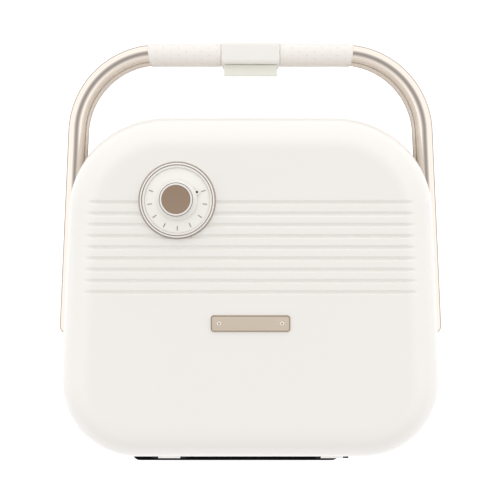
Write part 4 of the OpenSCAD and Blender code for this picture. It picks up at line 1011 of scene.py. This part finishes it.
# finishes for the CAD nodes: one name for the upper and the lower of a kind, and steel for the rest
cadFinish = {
    "hinge_knuckles": shellPlastic, "bottom_cover": trimPlastic, "rear_stand": standPlastic,
    "cord_gland": footRubber, "hinge_brackets": standPlastic, "thermostat": ceramicBody,
    "terminal_block": ceramicBody, "frame": framePlastic, "release_lever": framePlastic, "plate": nonStick,
    "reflector": reflectorSteel, "heater": heaterSheath,
}
for name, node in nodes.items():
    material = cadFinish.get(name.removeprefix("upper_").removeprefix("lower_"), steel)
    if node.data.materials:
        for index in range(len(node.data.materials)):
            node.data.materials[index] = material
    else:
        node.data.materials.append(material)
print("frame nodes finished")


# floor, light and camera
room = {
    "floorSize": 4.0, "floorTone": 0.85, "floorGlow": 0.55, "fromHandle": 1.36, "fromHinge": 0.7,
    "mirrorSides": 1.24, "mirrorTop": 0.37, "topStarts": 0.76, "mirrorHinge": 0.75,
}


def makeFloor():
    # white where the camera, a mirror or glass sees it, and still grey enough to take the shadow
    corners = np.array([[-1, -1, 0], [1, -1, 0], [1, 1, 0], [-1, 1, 0]]) * room["floorSize"] / mm
    floor = buildMesh("floor", corners, [[[0, 1, 2, 3]]])
    material, tree, shader = newMaterial("floor white")
    tone = room["floorTone"]
    feed(tree, shader, {"Base Color": (tone, tone, tone, 1), "Roughness": 0.9, "Specular IOR Level": 0.0})
    path = tree.nodes.new("ShaderNodeLightPath").outputs
    seen = mathNode(tree, "ADD", path["Is Camera Ray"], path["Is Glossy Ray"])
    seen = mathNode(tree, "ADD", seen, path["Is Transmission Ray"], clamp=True)
    glow = tree.nodes.new("ShaderNodeEmission")
    feed(tree, glow, {"Strength": mathNode(tree, "MULTIPLY", seen, room["floorGlow"])})
    total = tree.nodes.new("ShaderNodeAddShader")
    feed(tree, total, {0: shader.outputs[0], 1: glow.outputs[0]})
    feed(tree, [n for n in tree.nodes if n.type == "OUTPUT_MATERIAL"][0], {0: total.outputs[0]})
    floor.data.materials.append(material)


def rangeNode(tree, value, start, end, low, high, kind="LINEAR"):
    node = tree.nodes.new("ShaderNodeMapRange")
    node.interpolation_type = kind
    feed(tree, node, {0: value, 1: start, 2: end, 3: low, 4: high})
    return node.outputs[0]


def makeWorld():
    # soft light from all round, half as strong from the hinge's side as from the handle's;
    # mirror-like surfaces see a room that is dark straight overhead and bright all round
    world = bpy.data.worlds.new("room")
    bpy.context.scene.world = world
    world.use_nodes = True
    tree = world.node_tree
    tree.nodes.clear()
    split = tree.nodes.new("ShaderNodeSeparateXYZ")
    feed(tree, split, {0: tree.nodes.new("ShaderNodeTexCoord").outputs["Generated"]})
    y, z = split.outputs[1], split.outputs[2]
    soft = rangeNode(tree, y, -1, 1, room["fromHandle"], room["fromHinge"])
    overhead = rangeNode(tree, z, room["topStarts"], 1.0, room["mirrorSides"], room["mirrorTop"])
    hinge = rangeNode(tree, y, 0.2, 0.9, 1.0, room["mirrorHinge"], "SMOOTHSTEP")
    path = tree.nodes.new("ShaderNodeLightPath").outputs
    strength = tree.nodes.new("ShaderNodeMix")
    feed(tree, strength, {0: path["Is Glossy Ray"], 2: soft, 3: mathNode(tree, "MULTIPLY", overhead, hinge)})
    seen = tree.nodes.new("ShaderNodeMix")
    feed(tree, seen, {0: path["Is Camera Ray"], 2: strength.outputs[0], 3: 1.0})
    light = tree.nodes.new("ShaderNodeBackground")
    feed(tree, light, {"Color": (1, 1, 1, 1), "Strength": seen.outputs[0]})
    feed(tree, tree.nodes.new("ShaderNodeOutputWorld"), {0: light.outputs[0]})


makeFloor()
makeWorld()

# straight above, at a height in millimetres, with scale millimetres of the parting plane to a pixel
view = {"height": 800.0, "x": 0.35, "y": -2.4, "pixels": 500, "scale": 0.7}
camera = bpy.data.cameras.new("camera")
camera.sensor_width = 36.0
camera.lens = camera.sensor_width * view["height"] / (view["pixels"] * view["scale"])
cameraObject = bpy.data.objects.new("camera", camera)
bpy.context.scene.collection.objects.link(cameraObject)
cameraObject.location = (view["x"] * mm, view["y"] * mm, (partZ + view["height"]) * mm)
cameraObject.rotation_euler = (0, 0, math.pi)
bpy.context.scene.camera = cameraObject
bpy.context.scene.view_settings.view_transform = "Standard"
